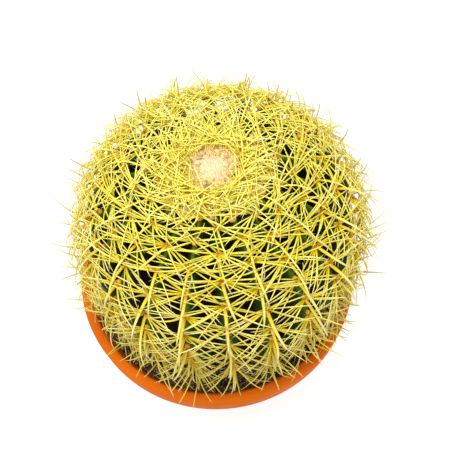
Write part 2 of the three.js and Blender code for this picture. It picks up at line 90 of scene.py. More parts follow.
def strength(name, description, default):
    return FloatProperty(name=name, description=description, default=default, subtype="UNSIGNED")


def whole(name, description, default):
    return IntProperty(name=name, description=description, default=default, subtype="UNSIGNED")


def colour(name, description, default):
    return FloatVectorProperty(
        name=name, description=description, default=default, subtype="COLOR", size=3, min=0, max=1
    )


class PotSettings(bpy.types.PropertyGroup):
    rim_radius: length("Rim radius", "Outer radius of the rim", (POT_HIGH.x - POT_LOW.x) / 2)
    height: length("Height", "From the base to the rim's top", POT_HIGH.z)
    base_radius: length("Base radius", "Outer radius of the flat base", 84 * MM)
    wall: length("Wall", "Thickness of the wall", 3 * MM)
    skirt: length("Skirt", "Height of the rim's skirt", 22 * MM)
    plastic: colour("Plastic", "Colour of the moulded plastic", (0.85, 0.180, 0.0035))
    shade: colour("Plastic shade", "Colour where the plastic is duller", (0.60, 0.100, 0.001))
    dust: colour("Dust", "Colour of the plastic's dusty scuffs", (0.80, 0.20, 0.03))


class SoilSettings(bpy.types.PropertyGroup):
    level: length("Level", "Height of the soil's surface", 139 * MM)
    relief: length("Relief", "Height of the soil's lumps", 3.2 * MM)
    peat: colour("Peat", "Colour of the peat", (0.008, 0.004, 0.002))
    dry_peat: colour("Dry peat", "Colour of the peat's dry crumbs", (0.58, 0.37, 0.18))
    fibre: colour("Fibre", "Colour of the fibres", (0.74, 0.58, 0.34))
    grit: colour("Grit", "Colour of the mineral grit", (0.75, 0.62, 0.46))
    seed: whole("Seed", "Seed of the soil's scatter", 5)


class BodySettings(bpy.types.PropertyGroup):
    ribs: whole("Ribs", "Number of ribs", 22)
    radius: length("Radius", "Radius over the rib crests", 102 * MM)
    crown_rise: length("Crown rise", "From the widest level to the crown", 71 * MM)
    foot_drop: length("Foot drop", "From the widest level to the foot", 144 * MM)
    furrow: length("Furrow", "Depth of the furrows", 17 * MM)
    swelling: length("Swelling", "How far the crest swells at each areole", 0.9 * MM)
    skin: colour("Skin", "Green of the flanks", (0.027, 0.066, 0.003))
    crest: colour("Crest", "Lighter green of the crests", (0.090, 0.165, 0.010))
    # Painted shade: the dark brown that the furrows take, for the shade between the ribs and their
    # spines
    furrow_shade: colour("Deep", "Dark brown in the furrows", (0.010, 0.0055, 0.002))


class SpineSettings(bpy.types.PropertyGroup):
    radial: length("Radial spines", "Length of the radial spines", 30 * MM)
    central: length("Central spines", "Length of the long central spines", 41.5 * MM)
    radial_width: length("Radial width", "Thickness of a radial spine's foot", 1.3 * MM)
    central_width: length("Central width", "Width of the lowest central spine", 2.6 * MM)
    root: colour("Root", "Colour of a spine's foot", (0.86, 0.51, 0.012))
    shaft: colour("Shaft", "Colour of a spine's shaft", (0.83, 0.685, 0.010))
    young: colour("Young", "Colour of the shafts of young spines", (0.94, 0.84, 0.110))
    cream: colour("Cream", "Colour of a spine's upper half", (0.92, 0.80, 0.36))
    tip: colour("Tip", "Colour of a spine's tip", (0.93, 0.77, 0.39))
    # Old spines' shafts: their own duller colour, darkened further as painted shade for the low
    # rows
    old: colour("Old", "Colour of the shafts of old spines", (0.62, 0.465, 0.022))
    felt: colour("Felt", "Colour of the areoles' felt", (0.92, 0.52, 0.055))
    old_felt: colour("Old felt", "Colour of felt that has darkened", (0.55, 0.26, 0.025))
    wool: colour("Wool", "Colour of the crown's wool", (0.87, 0.65, 0.36))
    # Tan wool round the crown's middle: partly the wool's own colour, partly painted shade among
    # the young spines
    shaded_tan_wool: colour("Tan wool", "Colour of the wool round the crown's middle", (0.84, 0.56, 0.16))
    seed: whole("Seed", "Seed of the spines' scatter", 11)


class StageSettings(bpy.types.PropertyGroup):
    floor: colour("Floor", "Colour of the paper floor before it glows", (0.35, 0.35, 0.35))
    glow: strength("Glow", "Light from under the paper floor", 2.3)
    sky: strength("Sky", "Strength of the even light", 0.56)
    key: power("Key", "Power of the large soft lamp", 10.8)


# Making meshes


def new_object(name, data):
    made = bpy.data.objects.new(name, data)
    bpy.context.scene.collection.objects.link(made)
    return made


def mesh_object(name, points, faces, smooth=True):
    mesh = bpy.data.meshes.new(name)
    mesh.from_pydata([tuple(p) for p in points], [], faces)
    if smooth:
        mesh.shade_smooth()
    mesh.update()
    return new_object(name, mesh)


def ring(radius, z, segments, centre=(0.0, 0.0)):
    """A level ring of points, clockwise as seen from above."""
    turns = 2 * np.pi * np.arange(segments) / segments
    x = centre[0] + radius * np.sin(turns)
    y = centre[1] + radius * np.cos(turns)
    return np.column_stack([x, y, np.full(segments, z)])


def closed_rings(name, first, rings, last):
    """A closed body from rings of points with the same count, each end closed by a point."""
    count = len(rings[0])
    points = np.concatenate([[first], *rings, [last]])
    end = len(points) - 1
    sides = [(i, (i + 1) % count) for i in range(count)]
    faces = [(0, 1 + i, 1 + after) for i, after in sides]
    for near in range(1, end - count, count):
        far = near + count
        faces += [(near + i, far + i, far + after, near + after) for i, after in sides]
    faces += [(end - count + i, end, end - count + after) for i, after in sides]
    return mesh_object(name, points, faces)


def set_values(mesh, name, values):
    """Stores one number or one vector for each vertex."""
    values = np.asarray(values, np.float32)
    kind, field = ("FLOAT", "value") if values.ndim == 1 else ("FLOAT_VECTOR", "vector")
    mesh.attributes.new(name, kind, "POINT").data.foreach_set(field, values.ravel())


def keep_result(made):
    """Makes what an object's modifiers give its plain mesh, and removes the modifiers."""
    graph = bpy.context.evaluated_depsgraph_get()
    mesh = bpy.data.meshes.new_from_object(
        made.evaluated_get(graph), preserve_all_data_layers=True, depsgraph=graph
    )
    made.modifiers.clear()
    before = made.data
    made.data = mesh
    bpy.data.meshes.remove(before)
    mesh.name = made.name
    if len(mesh.polygons) == 0:
        raise RuntimeError(f"{made.name} came out empty")


def grown(made, tree, values):
    """Runs a tree on an object and keeps the result as the object's plain mesh."""
    modifier = made.modifiers.new("growth", "NODES")
    modifier.node_group = tree
    for item in tree.interface.items_tree:
        if item.in_out == "INPUT" and item.name in values:
            modifier[item.identifier] = values[item.name]
    keep_result(made)


def finish_piece(made, slot, *nodes):
    """Gives a piece its body and hides the nodes of the frame that it replaces. Its slot is not
    used.
    """
    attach(made, "root")
    if nodes:
        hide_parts(*nodes)


# Laying out node trees

FLOAT, COLOUR = "NodeSocketFloat", "NodeSocketColor"
GEOMETRY, MATERIAL = "NodeSocketGeometry", "NodeSocketMaterial"
SOCKET_KINDS = {int: "NodeSocketInt", float: FLOAT, tuple: COLOUR}


class Sketch:
    """Adds nodes to a tree and joins them by the names of their sockets."""

    def __init__(self, tree):
        self.tree = tree

    def socket(self, sockets, key):
        if isinstance(key, int):
            return sockets[key]
        return next(s for s in sockets if s.name == key and s.enabled)

    def fill(self, node, inputs):
        """Links or sets a node's inputs. A colour may come without its alpha."""
        for key, value in inputs.items():
            target = self.socket(node.inputs, key)
            if isinstance(value, bpy.types.NodeSocket):
                self.tree.links.new(value, target)
            elif target.type == "RGBA":
                target.default_value = (*value[:3], 1.0)
            else:
                target.default_value = value

    def add(self, kind, inputs=None, output=0, **settings):
        """Adds a node and gives back one of its outputs, or the node where output is None."""
        node = self.tree.nodes.new(kind)
        for name, value in settings.items():
            setattr(node, name, value)
        self.fill(node, inputs or {})
        return node if output is None else self.socket(node.outputs, output)

    def math(self, operation, *values, clamp=False):
        inputs = dict(enumerate(values))
        return self.add("ShaderNodeMath", inputs, operation=operation, use_clamp=clamp)

    def product(self, first, *others):
        for other in others:
            first = self.math("MULTIPLY", first, other)
        return first

    def less(self, first, second):
        return self.math("SUBTRACT", first, second)

    def scaled(self, vector, factor):
        inputs = {0: vector, "Scale": factor}
        return self.add("ShaderNodeVectorMath", inputs, "Vector", operation="SCALE")

    def ramp(self, value, low, high, start=0.0, end=1.0, kind="SMOOTHSTEP"):
        inputs = {"Value": value, "From Min": low, "From Max": high, "To Min": start, "To Max": end}
        return self.add("ShaderNodeMapRange", inputs, "Result", interpolation_type=kind)

    def noise(self, place, scale, detail, output="Fac", roughness=0.5):
        inputs = {"Vector": place, "Scale": scale, "Detail": detail, "Roughness": roughness}
        return self.add("ShaderNodeTexNoise", inputs, output)

    def mixed(self, share, first, second):
        inputs = {"Factor": share, "A": first, "B": second}
        return self.add("ShaderNodeMix", inputs, "Result", data_type="RGBA")

    def read(self, name):
        """A number that the mesh carries, in a material."""
        return self.add("ShaderNodeAttribute", None, "Fac", attribute_name=name)


class Group(Sketch):
    """A node group with named inputs and outputs.

    Each comes with its default, which tells its kind, or with only its kind.
    """

    def __init__(self, name, kind, inputs, outputs):
        super().__init__(bpy.data.node_groups.new(name, kind))
        for side, sockets in (("INPUT", inputs), ("OUTPUT", outputs)):
            for label, value in sockets.items():
                bare = isinstance(value, str)
                wanted = value if bare else SOCKET_KINDS[type(value)]
                socket = self.tree.interface.new_socket(label, in_out=side, socket_type=wanted)
                if not bare:
                    socket.default_value = value
        self.start = self.tree.nodes.new("NodeGroupInput")
        self.end = self.tree.nodes.new("NodeGroupOutput")

    def given(self, label):
        return self.start.outputs[label]

    def put(self, **values):
        self.fill(self.end, values)
        return self.tree


def group_named(name, build):
    """The node group of this name, built on its first use."""
    return bpy.data.node_groups.get(name) or build(name)


# Geometry Nodes trees


class Tree(Group):
    """A Geometry Nodes tree whose sizes are named inputs."""

    def __init__(self, name, sizes):
        inputs = {"Geometry": GEOMETRY, **sizes, "Material": MATERIAL}
        super().__init__(name, "GeometryNodeTree", inputs, {"Geometry": GEOMETRY})

    def read(self, name, kind="FLOAT"):
        """A number or a vector that the geometry carries."""
        return self.add("GeometryNodeInputNamedAttribute", {"Name": name}, data_type=kind)

    def read_vector(self, name):
        return self.read(name, "FLOAT_VECTOR")

    def store(self, geometry, name, value, domain="POINT"):
        inputs = {"Geometry": geometry, "Name": name, "Value": value}
        kind = "GeometryNodeStoreNamedAttribute"
        return self.add(kind, inputs, data_type="FLOAT", domain=domain)

    def place(self):
        return self.add("GeometryNodeInputPosition")

    def joined(self, x, y, z):
        return self.add("ShaderNodeCombineXYZ", {"X": x, "Y": y, "Z": z})

    def moved(self, geometry, offset):
        return self.add("GeometryNodeSetPosition", {"Geometry": geometry, "Offset": offset})

    def random(self, kind, low, high, step):
        """A value for each instance, from the tree's seed and a step of its own."""
        seed = self.math("ADD", self.given("Seed"), step)
        inputs = {"Min": low, "Max": high, "Seed": seed}
        return self.add("FunctionNodeRandomValue", inputs, "Value", data_type=kind)

    def points(self):
        return self.add("GeometryNodeMeshToPoints", {"Mesh": self.given("Geometry")})

    def ball(self):
        inputs = {"Radius": 1.0, "Subdivisions": self.given("Detail")}
        return self.add("GeometryNodeMeshIcoSphere", inputs, "Mesh")

    def facing(self, up, side):
        """The turn that brings Z and X to two vectors that each point carries."""
        inputs = {"Primary Axis": self.read_vector(up), "Secondary Axis": self.read_vector(side)}
        axes = {"primary_axis": "Z", "secondary_axis": "X"}
        return self.add("FunctionNodeAxesToRotation", inputs, **axes)

    def instances(self, points, instance, turn, size):
        inputs = {"Points": points, "Instance": instance, "Rotation": turn, "Scale": size}
        return self.add("GeometryNodeInstanceOnPoints", inputs)

    def real(self, geometry):
        return self.add("GeometryNodeRealizeInstances", {"Geometry": geometry})

    def lumpy(self, geometry, scale):
        """Real geometry with its surface pushed about by a fine noise."""
        noise = self.noise(self.place(), scale, 2.0, "Color")
        inputs = {0: noise, 1: (0.5, 0.5, 0.5)}
        push = self.add("ShaderNodeVectorMath", inputs, "Vector", operation="SUBTRACT")
        return self.moved(self.real(geometry), self.scaled(push, self.given("Lumpiness")))

    def close(self, geometry):
        """Ends the tree in plain, smooth geometry with its material."""
        inputs = {"Geometry": self.real(geometry), "Shade Smooth": True}
        smooth = self.add("GeometryNodeSetShadeSmooth", inputs)
        inputs = {"Geometry": smooth, "Material": self.given("Material")}
        return self.put(Geometry=self.add("GeometryNodeSetMaterial", inputs))


def spine_tree(name):
    """Grows a tapered, bent spine on each point, from the values that the point carries."""
    tree = Tree(name, {"Sides": 5, "Segments": 4, "Fullness": 0.35, "Flatness": 1.0})
    shape = {
        "Vertices": tree.given("Sides"),
        "Side Segments": tree.given("Segments"),
        "Radius Top": 0.0,
        "Radius Bottom": 0.5,
        "Depth": 1.0,
    }
    cone = tree.add("GeometryNodeMeshCone", shape, "Mesh", fill_type="NGON")
    parts = tree.add("ShaderNodeSeparateXYZ", {0: tree.place()}, None).outputs
    along = parts["Z"]
    marked = tree.store(cone, "along", along)
    left = tree.math("MAXIMUM", tree.less(1.0, along), 0.02)
    fuller = tree.math("POWER", left, tree.product(tree.given("Fullness"), -1.0))
    full = tree.joined(tree.product(parts["X"], fuller), tree.product(parts["Y"], fuller), along)
    spine = tree.add("GeometryNodeSetPosition", {"Geometry": marked, "Position": full})
    width = tree.read("spine_width")
    depth = tree.product(width, tree.given("Flatness"))
    size = tree.joined(width, depth, tree.read("spine_length"))
    turn = tree.facing("spine_axis", "spine_side")
    spines = tree.real(tree.instances(tree.points(), spine, turn, size))
    share = tree.read("along")
    bend = tree.scaled(tree.read_vector("spine_sag"), tree.product(share, share))
    return tree.close(tree.moved(spines, bend))


def rib_tree(name):
    """Folds a smooth turned body into ribs, with a swelling of the crest at each areole."""
    sizes = {
        "Furrow Depth": 17 * MM,
        "Crest Roundness": 0.12,
        "Areole Swelling": 0.9 * MM,
        "Skin Waves": 0.5 * MM,
        "Soil Distance": 0.237,
    }
    tree = Tree(name, sizes)
    down = tree.read("from_crown")
    across = tree.math("ABSOLUTE", tree.read("across"))
    opening = tree.ramp(down, 4 * MM, 80 * MM)
    fade_from = tree.less(tree.given("Soil Distance"), 75 * MM)
    fade_to = tree.math("ADD", tree.given("Soil Distance"), 5 * MM)
    closing = tree.ramp(down, fade_from, fade_to, 1.0, 0.2)
    roundness = tree.given("Crest Roundness")
    rising = tree.math("DIVIDE", tree.product(across, across), tree.math("ADD", across, roundness))
    section = tree.product(rising, tree.math("ADD", roundness, 1.0))
    depth = tree.product(tree.given("Furrow Depth"), opening, closing, section)
    turn = tree.product(tree.read("station"), 2 * math.pi)
    wave = tree.product(tree.math("COSINE", turn), 0.5)
    near_crest = tree.ramp(across, 0.0, 0.6, 1.0, 0.0)
    swell = tree.product(wave, near_crest, opening, tree.given("Areole Swelling"))
    noise = tree.noise(tree.place(), 90.0, 3.0)
    waves = tree.product(tree.less(noise, 0.5), tree.given("Skin Waves"))
    sunk = tree.less(tree.math("ADD", depth, waves), swell)
    shade = tree.math("DIVIDE", depth, tree.given("Furrow Depth"))
    marked = tree.store(tree.given("Geometry"), "furrow_share", shade)
    return tree.close(tree.moved(marked, tree.scaled(tree.read_vector("inward"), sunk)))


def ground_tree(name):
    """Roughens the soil's surface where the attribute loose says so."""
    tree = Tree(name, {"Relief": 3 * MM, "Lump Scale": 70.0})
    noise = tree.noise(tree.place(), tree.given("Lump Scale"), 6.0, roughness=0.68)
    lift = tree.product(tree.less(noise, 0.5), tree.given("Relief"), tree.read("loose"))
    return tree.close(tree.moved(tree.given("Geometry"), tree.joined(0.0, 0.0, lift)))


FULL_TURN = 6.28


def grain_tree(name):
    """Scatters lumpy grains over a surface, half sunk in it."""
    sizes = {
        "Density": 40000.0,
        "Smallest": 0.4 * MM,
        "Largest": 1.6 * MM,
        "Lumpiness": 0.5 * MM,
        "Detail": 1,
        "Seed": 1,
    }
    tree = Tree(name, sizes)
    density, seed = tree.given("Density"), tree.given("Seed")
    inputs = {"Mesh": tree.given("Geometry"), "Density": density, "Seed": seed}
    kind = "GeometryNodeDistributePointsOnFaces"
    points = tree.add(kind, inputs, "Points", distribute_method="RANDOM")
    turn = tree.random("FLOAT_VECTOR", (0, 0, 0), (FULL_TURN,) * 3, 3)
    rare = tree.math("POWER", tree.random("FLOAT", 0.0, 1.0, 5), 2.2)
    span = tree.less(tree.given("Largest"), tree.given("Smallest"))
    radius = tree.math("MULTIPLY_ADD", rare, span, tree.given("Smallest"))
    squash = tree.random("FLOAT_VECTOR", (0.6, 0.55, 0.45), (1.2, 1.0, 0.9), 9)
    grains = tree.instances(points, tree.ball(), turn, tree.scaled(squash, radius))
    toned = tree.store(grains, "tone", tree.random("FLOAT", 0.0, 1.0, 7), "INSTANCE")
    return tree.close(tree.lumpy(toned, 900.0))


def tuft_tree(name):
    """Sets a lumpy cushion of felt or wool on each point, turned to the point's own axes."""
    tree = Tree(name, {"Detail": 2, "Lump Scale": 420.0, "Lumpiness": 1.1 * MM})
    turn = tree.facing("tuft_out", "tuft_side")
    tufts = tree.instances(tree.points(), tree.ball(), turn, tree.read_vector("tuft_size"))
    return tree.close(tree.lumpy(tufts, tree.given("Lump Scale")))


# Shared shader effects

WHITE = (1.0, 1.0, 1.0, 1.0)
SPINE_COLOURS = ("Root", "Shaft", "Young", "Cream", "Tip", "Old")


class Effect(Group):
    """A shader node group that gives out only colours, masks and heights."""

    def __init__(self, name, inputs, outputs):
        super().__init__(name, "ShaderNodeTree", inputs, outputs)

    def spread_noise(self, scale, detail, contrast):
        """Noise on object coordinates, plain and with its contrast raised round the middle."""
        place = self.add("ShaderNodeTexCoord", None, "Object")
        noise = self.noise(place, scale, detail)
        spread = self.product(self.less(noise, 0.5), contrast)
        return noise, self.math("ADD", spread, 0.5, clamp=True)


def grain_effect(name):
    """Fine grain: a mask for colour and a height for bumps."""
    inputs = {"Scale": 300.0, "Detail": 4.0, "Contrast": 2.0}
    effect = Effect(name, inputs, {"Mask": FLOAT, "Height": FLOAT})
    noise, mask = effect.spread_noise(*(effect.given(label) for label in inputs))
    return effect.put(Mask=mask, Height=noise)


def drift_effect(name):
    """A slow drift from one colour to another over the object."""
    inputs = {"First": WHITE, "Second": WHITE, "Scale": 20.0, "Sharpness": 2.0}
    effect = Effect(name, inputs, {"Color": COLOUR})
    _, mask = effect.spread_noise(effect.given("Scale"), 3.0, effect.given("Sharpness"))
    return effect.put(Color=effect.mixed(mask, effect.given("First"), effect.given("Second")))


def spine_effect(name):
    """The colour of a spine from foot to tip, and the fine rings across it."""
    inputs = {**dict.fromkeys(SPINE_COLOURS, WHITE), "Root Share": 0.16, "Rings": 40.0}
    effect = Effect(name, inputs, {"Color": COLOUR, "Height": FLOAT})
    root, shaft, young, cream, tip, old = (effect.given(label) for label in SPINE_COLOURS)
    along, age, tone = (effect.read(value) for value in ("along", "age", "tone"))
    foot = effect.ramp(along, 0.0, effect.given("Root Share"), 1.0, 0.0)
    foot = effect.product(foot, effect.ramp(age, 0.05, 0.45, 0.3, 1.0))
    rising, falling = effect.ramp(age, 0.3, 0.55, 0.0, 0.35), effect.ramp(age, 0.66, 0.85, 1.0, 0.2)
    middle = effect.product(rising, falling)
    pale = effect.math("POWER", tone, 2.0)
    faded = effect.math("MULTIPLY_ADD", pale, 0.6, middle, clamp=True)
    creamy = effect.product(effect.ramp(along, 0.12, 0.6), faded)
    blend = effect.mixed(effect.ramp(age, 0.0, 0.5), young, shaft)
    blend = effect.mixed(creamy, blend, cream)
    # Old and low spines take the old colour: partly their real wear, partly painted shade on the
    # low rows
    aged = effect.ramp(age, 0.5, 0.85, 0.0, 0.85)
    worn_and_shaded = effect.product(aged, effect.ramp(along, 0.3, 0.85, 1.0, 0.35))
    blend = effect.mixed(worn_and_shaded, blend, old)
    blend = effect.mixed(effect.ramp(along, 0.78, 1.0), blend, tip)
    blend = effect.mixed(foot, blend, root)
    brightness = effect.ramp(tone, 0.0, 1.0, 0.82, 1.08, "LINEAR")
    inputs = {"Color": blend, "Value": brightness}
    toned = effect.add("ShaderNodeHueSaturation", inputs, "Color")
    rings = effect.math("SINE", effect.product(along, effect.given("Rings")))
    return effect.put(Color=toned, Height=rings)


# Finishes


class Finish(Sketch):
    """A material with one Principled shader."""

    def __init__(self, name, specular, values=None):
        self.material = bpy.data.materials.new(name)
        self.material.use_nodes = True
        super().__init__(self.material.node_tree)
        self.shader = self.tree.nodes["Principled BSDF"]
        self.feed({"Specular IOR Level": specular, **(values or {})})

    def feed(self, values):
        self.fill(self.shader, values)

    def group(self, name, build, inputs):
        group = group_named(name, build)
        return self.add("ShaderNodeGroup", inputs, None, node_tree=group).outputs

    def grain(self, scale, detail, contrast):
        inputs = {"Scale": scale, "Detail": detail, "Contrast": contrast}
        return self.group("surface_grain", grain_effect, inputs)

    def drift(self, first, second, scale, sharpness):
        inputs = {"First": first, "Second": second, "Scale": scale, "Sharpness": sharpness}
        return self.group("colour_drift", drift_effect, inputs)["Color"]

    def roughen(self, grain, low, high):
        self.feed({"Roughness": self.ramp(grain["Mask"], 0, 1, low, high, "LINEAR")})

    def bumpy(self, grain, strength, depth):
        inputs = {"Strength": strength, "Distance": depth, "Height": grain["Height"]}
        self.feed({"Normal": self.add("ShaderNodeBump", inputs, "Normal")})


def shaded(rgb, share):
    return tuple(min(1.0, part * share) for part in rgb)


def translucent(weight, radius, scale):
    """The shader's values for a finish that lets light in, with its reach for each colour."""
    names = ("Subsurface Weight", "Subsurface Radius", "Subsurface Scale")
    return dict(zip(names, (weight, radius, scale)))


def plastic_finish(settings):
    """Moulded plastic, duller in places and dusty where it is scuffed."""
    finish = Finish("moulded_plastic", 0.05)
    drift = finish.drift(settings.plastic, settings.shade, 14.0, 1.1)
    fine = finish.grain(900.0, 3.0, 2.2)
    scuffs = finish.grain(45.0, 8.0, 5.0)
    dusty = finish.product(scuffs["Mask"], 0.10)
    finish.feed({"Base Color": finish.mixed(dusty, drift, settings.dust)})
    finish.roughen(scuffs, 0.52, 0.70)
    finish.bumpy(fine, 0.25, 0.15 * MM)
    return finish.material


def soil_finish(name, light, dark, smoothest):
    """Dark soil, grit or fibre, lighter in its coarse grain and where its tone is high."""
    finish = Finish(name, 0.2)
    coarse = finish.grain(260.0, 6.0, 3.2)
    fine = finish.grain(1500.0, 4.0, 3.0)
    pale = finish.math("POWER", finish.read("tone"), 4.5)
    share = finish.product(coarse["Mask"], 0.19)
    share = finish.math("MULTIPLY_ADD", pale, 1.6, share, clamp=True)
    finish.feed({"Base Color": finish.mixed(share, dark, light)})
    finish.roughen(fine, smoothest, 1.0)
    finish.bumpy(fine, 0.7, 0.5 * MM)
    return finish.material


def skin_finish(settings):
    """Mottled green skin, lighter on the crests, and dark in the furrows as painted shade."""
    finish = Finish("cactus_skin", 0.04)
    sunk = finish.read("furrow_share")
    mottle = finish.drift(settings.skin, shaded(settings.skin, 0.62), 70.0, 2.4)
    crested = finish.mixed(finish.ramp(sunk, 0.0, 0.16, 1.0, 0.0), mottle, settings.crest)
    # Painted shade: the furrows go dark brown with their depth
    furrow_shade = finish.mixed(finish.ramp(sunk, 0.16, 0.60), crested, settings.furrow_shade)
    fine = finish.grain(1400.0, 3.0, 2.4)
    finish.feed({"Base Color": furrow_shade})
    finish.roughen(fine, 0.50, 0.70)
    finish.bumpy(fine, 0.35, 0.2 * MM)
    return finish.material


def spine_finish(name, settings, root_share, rings):
    """Horn that lets light in, coloured from foot to tip and ringed."""
    finish = Finish(name, 0.35, translucent(0.36, (1.0, 0.75, 0.06), 1.6 * MM))
    colours = {label: getattr(settings, label.lower()) for label in SPINE_COLOURS}
    inputs = {**colours, "Root Share": root_share, "Rings": rings}
    spine = finish.group("spine_colour", spine_effect, inputs)
    finish.feed({"Base Color": spine["Color"]})
    finish.roughen(finish.grain(700.0, 3.0, 2.5), 0.28, 0.5)
    finish.bumpy(spine, 0.2, 0.12 * MM)
    return finish.material


def felt_finish(name, light, dark, scale):
    """Felt or wool that goes from light to dark with its tone, mottled by a grain."""
    finish = Finish(name, 0.1, translucent(0.35, (1.0, 0.8, 0.4), 2.0 * MM))
    mottle = finish.grain(scale, 3.0, 3.0)
    share = finish.math("MULTIPLY_ADD", mottle["Mask"], 1.1, 0.45)
    share = finish.math("MULTIPLY", share, finish.read("tone"), clamp=True)
    finish.feed({"Base Color": finish.mixed(share, light, dark), "Roughness": 0.95})
    finish.bumpy(finish.grain(2400.0, 4.0, 3.0), 0.35, 0.2 * MM)
    return finish.material


# The plant's own axes and its crest curve

PLANT_ASIDE, WIDEST_ABOVE_RIM = 6.5 * MM, 84 * MM
LEAN_BACK, LEAN_ASIDE, TURN = -2.1, -1.7, -1.8
PLANT = (
    Matrix.Translation((PLANT_ASIDE, 0, POT_HIGH.z + WIDEST_ABOVE_RIM))
    @ Matrix.Rotation(math.radians(LEAN_BACK), 4, "X")
    @ Matrix.Rotation(math.radians(LEAN_ASIDE), 4, "Y")
    @ Matrix.Rotation(math.radians(TURN), 4, "Z")
)
PLANT_TURN = np.array(PLANT.to_3x3())
PLANT_PLACE = np.array(PLANT.translation)
CREST_ANGLE = 150
CREST_POINTS = 1201
CREST_BLUNTNESS = 0.8
DIMPLE_DEPTH, DIMPLE_REACH = 4 * MM, 26 * MM
THICKEST_ROOT = 30 * MM
AREOLE_PITCH = 16.5 * MM
FIRST_AREOLES = (29 * MM, 21.2 * MM)
LAST_AREOLE = 222 * MM
UP = np.array([0.0, 0.0, 1.0])


def turned(vectors):
    return np.asarray(vectors) @ PLANT_TURN.T


def to_frame(points):
    return turned(points) + PLANT_PLACE


def to_plant(points):
    return (np.asarray(points) - PLANT_PLACE) @ PLANT_TURN


def smooth_step(x, low, high):
    """How far a value has come from low to high, eased at both ends."""
    t = min(max((x - low) / (high - low), 0.0), 1.0)
    return t * t * (3 - 2 * t)


class Crest:
    """The line of a rib's crest, from the crown down to under the soil."""

    def __init__(self, scene):
        settings = scene.cactus_body
        polar = np.radians(np.linspace(0, CREST_ANGLE, CREST_POINTS))
        drop = np.where(np.cos(polar) > 0, settings.crown_rise, settings.foot_drop)
        self.r = settings.radius * np.sin(polar) ** CREST_BLUNTNESS
        dimple = DIMPLE_DEPTH * np.exp(-((self.r / DIMPLE_REACH) ** 2))
        self.z = drop * np.cos(polar) - dimple
        steps = np.hypot(np.diff(self.r), np.diff(self.z))
        self.s = np.concatenate([[0.0], np.cumsum(steps)])
        soil_z = scene.cactus_soil.level - PLANT_PLACE[2]
        buried = (self.z < soil_z) & (self.r > THICKEST_ROOT)
        self.soil = float(self.s[np.argmax(buried)])

    def at(self, s):
        return np.interp(s, self.s, self.r), np.interp(s, self.s, self.z)

    def slope(self, s):
        """The unit direction down the crest, as its parts outwards and up."""
        r0, z0 = self.at(np.maximum(s - MM, 0))
        r1, z1 = self.at(s + MM)
        size = np.hypot(r1 - r0, z1 - z0)
        return (r1 - r0) / size, (z1 - z0) / size

    def clearance(self, points):
        """How far each point, in the plant's axes, stands out from the crest line."""
        radial = np.hypot(points[:, 0], points[:, 1])
        fourths = slice(None, None, 4)
        slope_r, slope_z = self.slope(self.s[fourths])
        gap_r = radial[:, None] - self.r[None, fourths]
        gap_z = points[:, 2][:, None] - self.z[None, fourths]
        nearest = np.argmin(gap_r**2 + gap_z**2, axis=1)
        rows = np.arange(len(points))
        return gap_z[rows, nearest] * slope_r[nearest] - gap_r[rows, nearest] * slope_z[nearest]


class Spot:
    """A place on the crest and the directions east, down the rib and outwards from it."""

    def __init__(self, crest, s, azimuth):
        self.s = s
        r, z = crest.at(s)
        slope_r, slope_z = crest.slope(s)
        ahead = np.array([math.sin(azimuth), -math.cos(azimuth), 0.0])
        self.place = to_frame(ahead * r + UP * z)
        self.east = turned([math.cos(azimuth), math.sin(azimuth), 0.0])
        self.down = turned(ahead * slope_r + UP * slope_z)
        self.out = turned(UP * slope_r - ahead * slope_z)

    def above(self, height):
        return self.place + self.out * height

    def direction(self, angle, rise):
        """A direction at an angle from east towards down the rib, lifted, and the one beside it."""
        a, e = math.radians(angle), math.radians(rise)
        flat = self.east * math.cos(a) + self.down * math.sin(a)
        return flat * math.cos(e) + self.out * math.sin(e), np.cross(self.out, flat)


class Areole(Spot):
    """A spot that bears spines, and how far each trait has come there, from 0 to 1."""

    def __init__(self, crest, s, azimuth):
        super().__init__(crest, s, azimuth)
        self.young = 1 - smooth_step(s, 20 * MM, 105 * MM)
        self.low = smooth_step(s, 90 * MM, 190 * MM)
        self.drooping = smooth_step(s, 110 * MM, 170 * MM)
        self.old = smooth_step(s, 135 * MM, LAST_AREOLE)
        self.bare = smooth_step(s, 150 * MM, 190 * MM)
        # The low rows count as older, so their spines take the dark old colour as painted shade
        self.age = 0.5 * (1 - self.young) + 0.25 * self.low + 0.25 * self.old
        self.heart = self.above(2.5 * MM)


def areoles(scene, crest):
    """Each areole of each rib, from the crown down."""
    ribs = scene.cactus_body.ribs
    for rib in range(ribs):
        for s in np.arange(FIRST_AREOLES[rib % 2], LAST_AREOLE + 1e-6, AREOLE_PITCH):
            yield Areole(crest, s, 2 * math.pi * rib / ribs)


# Batches of points that something grows on

# How spines settle: the shares of their length that are looked at, how far a round pushes them,
# the gaps that they keep, and how much of its length one keeps when it comes too near
SETTLING_ROUNDS = 24
SETTLING_SHARES = (0.55, 0.8, 1.0)
PUSH_OUT, PUSH_UP = 1.5 * MM, 1.6 * MM
SOIL_GAP, RIM_GAP, BOX_GAP = 2.5 * MM, 2.0 * MM, 0.4 * MM
KEPT_AT_RIM, KEPT_AT_BOX = 0.985, 0.95
RIM_REACH = 10 * MM
HEART_BELOW = 20 * MM


class Batch:
    """Points that carry values, for a tree to grow something on each of them."""

    def __init__(self):
        self.rows = []

    def add(self, place, *values):
        self.rows.append((place, *values))

    def columns(self):
        return [np.array(column, float) for column in zip(*self.rows)]

    def piece(self, name, slot, material, *nodes, **sizes):
        """Grows the batch's tree on its points and finishes the result as one piece."""
        places, *columns = self.columns()
        made = mesh_object(name, places, [], smooth=False)
        for key, column in zip(self.names, columns):
            set_values(made.data, key, column)
        grown(made, group_named(*self.tree), {**sizes, "Material": material})
        finish_piece(made, slot, *nodes)


class Tufts(Batch):
    """Cushions of felt and tufts of wool."""

    names = ("tuft_out", "tuft_side", "tuft_size", "tone")
    tree = ("felt_cushions", tuft_tree)


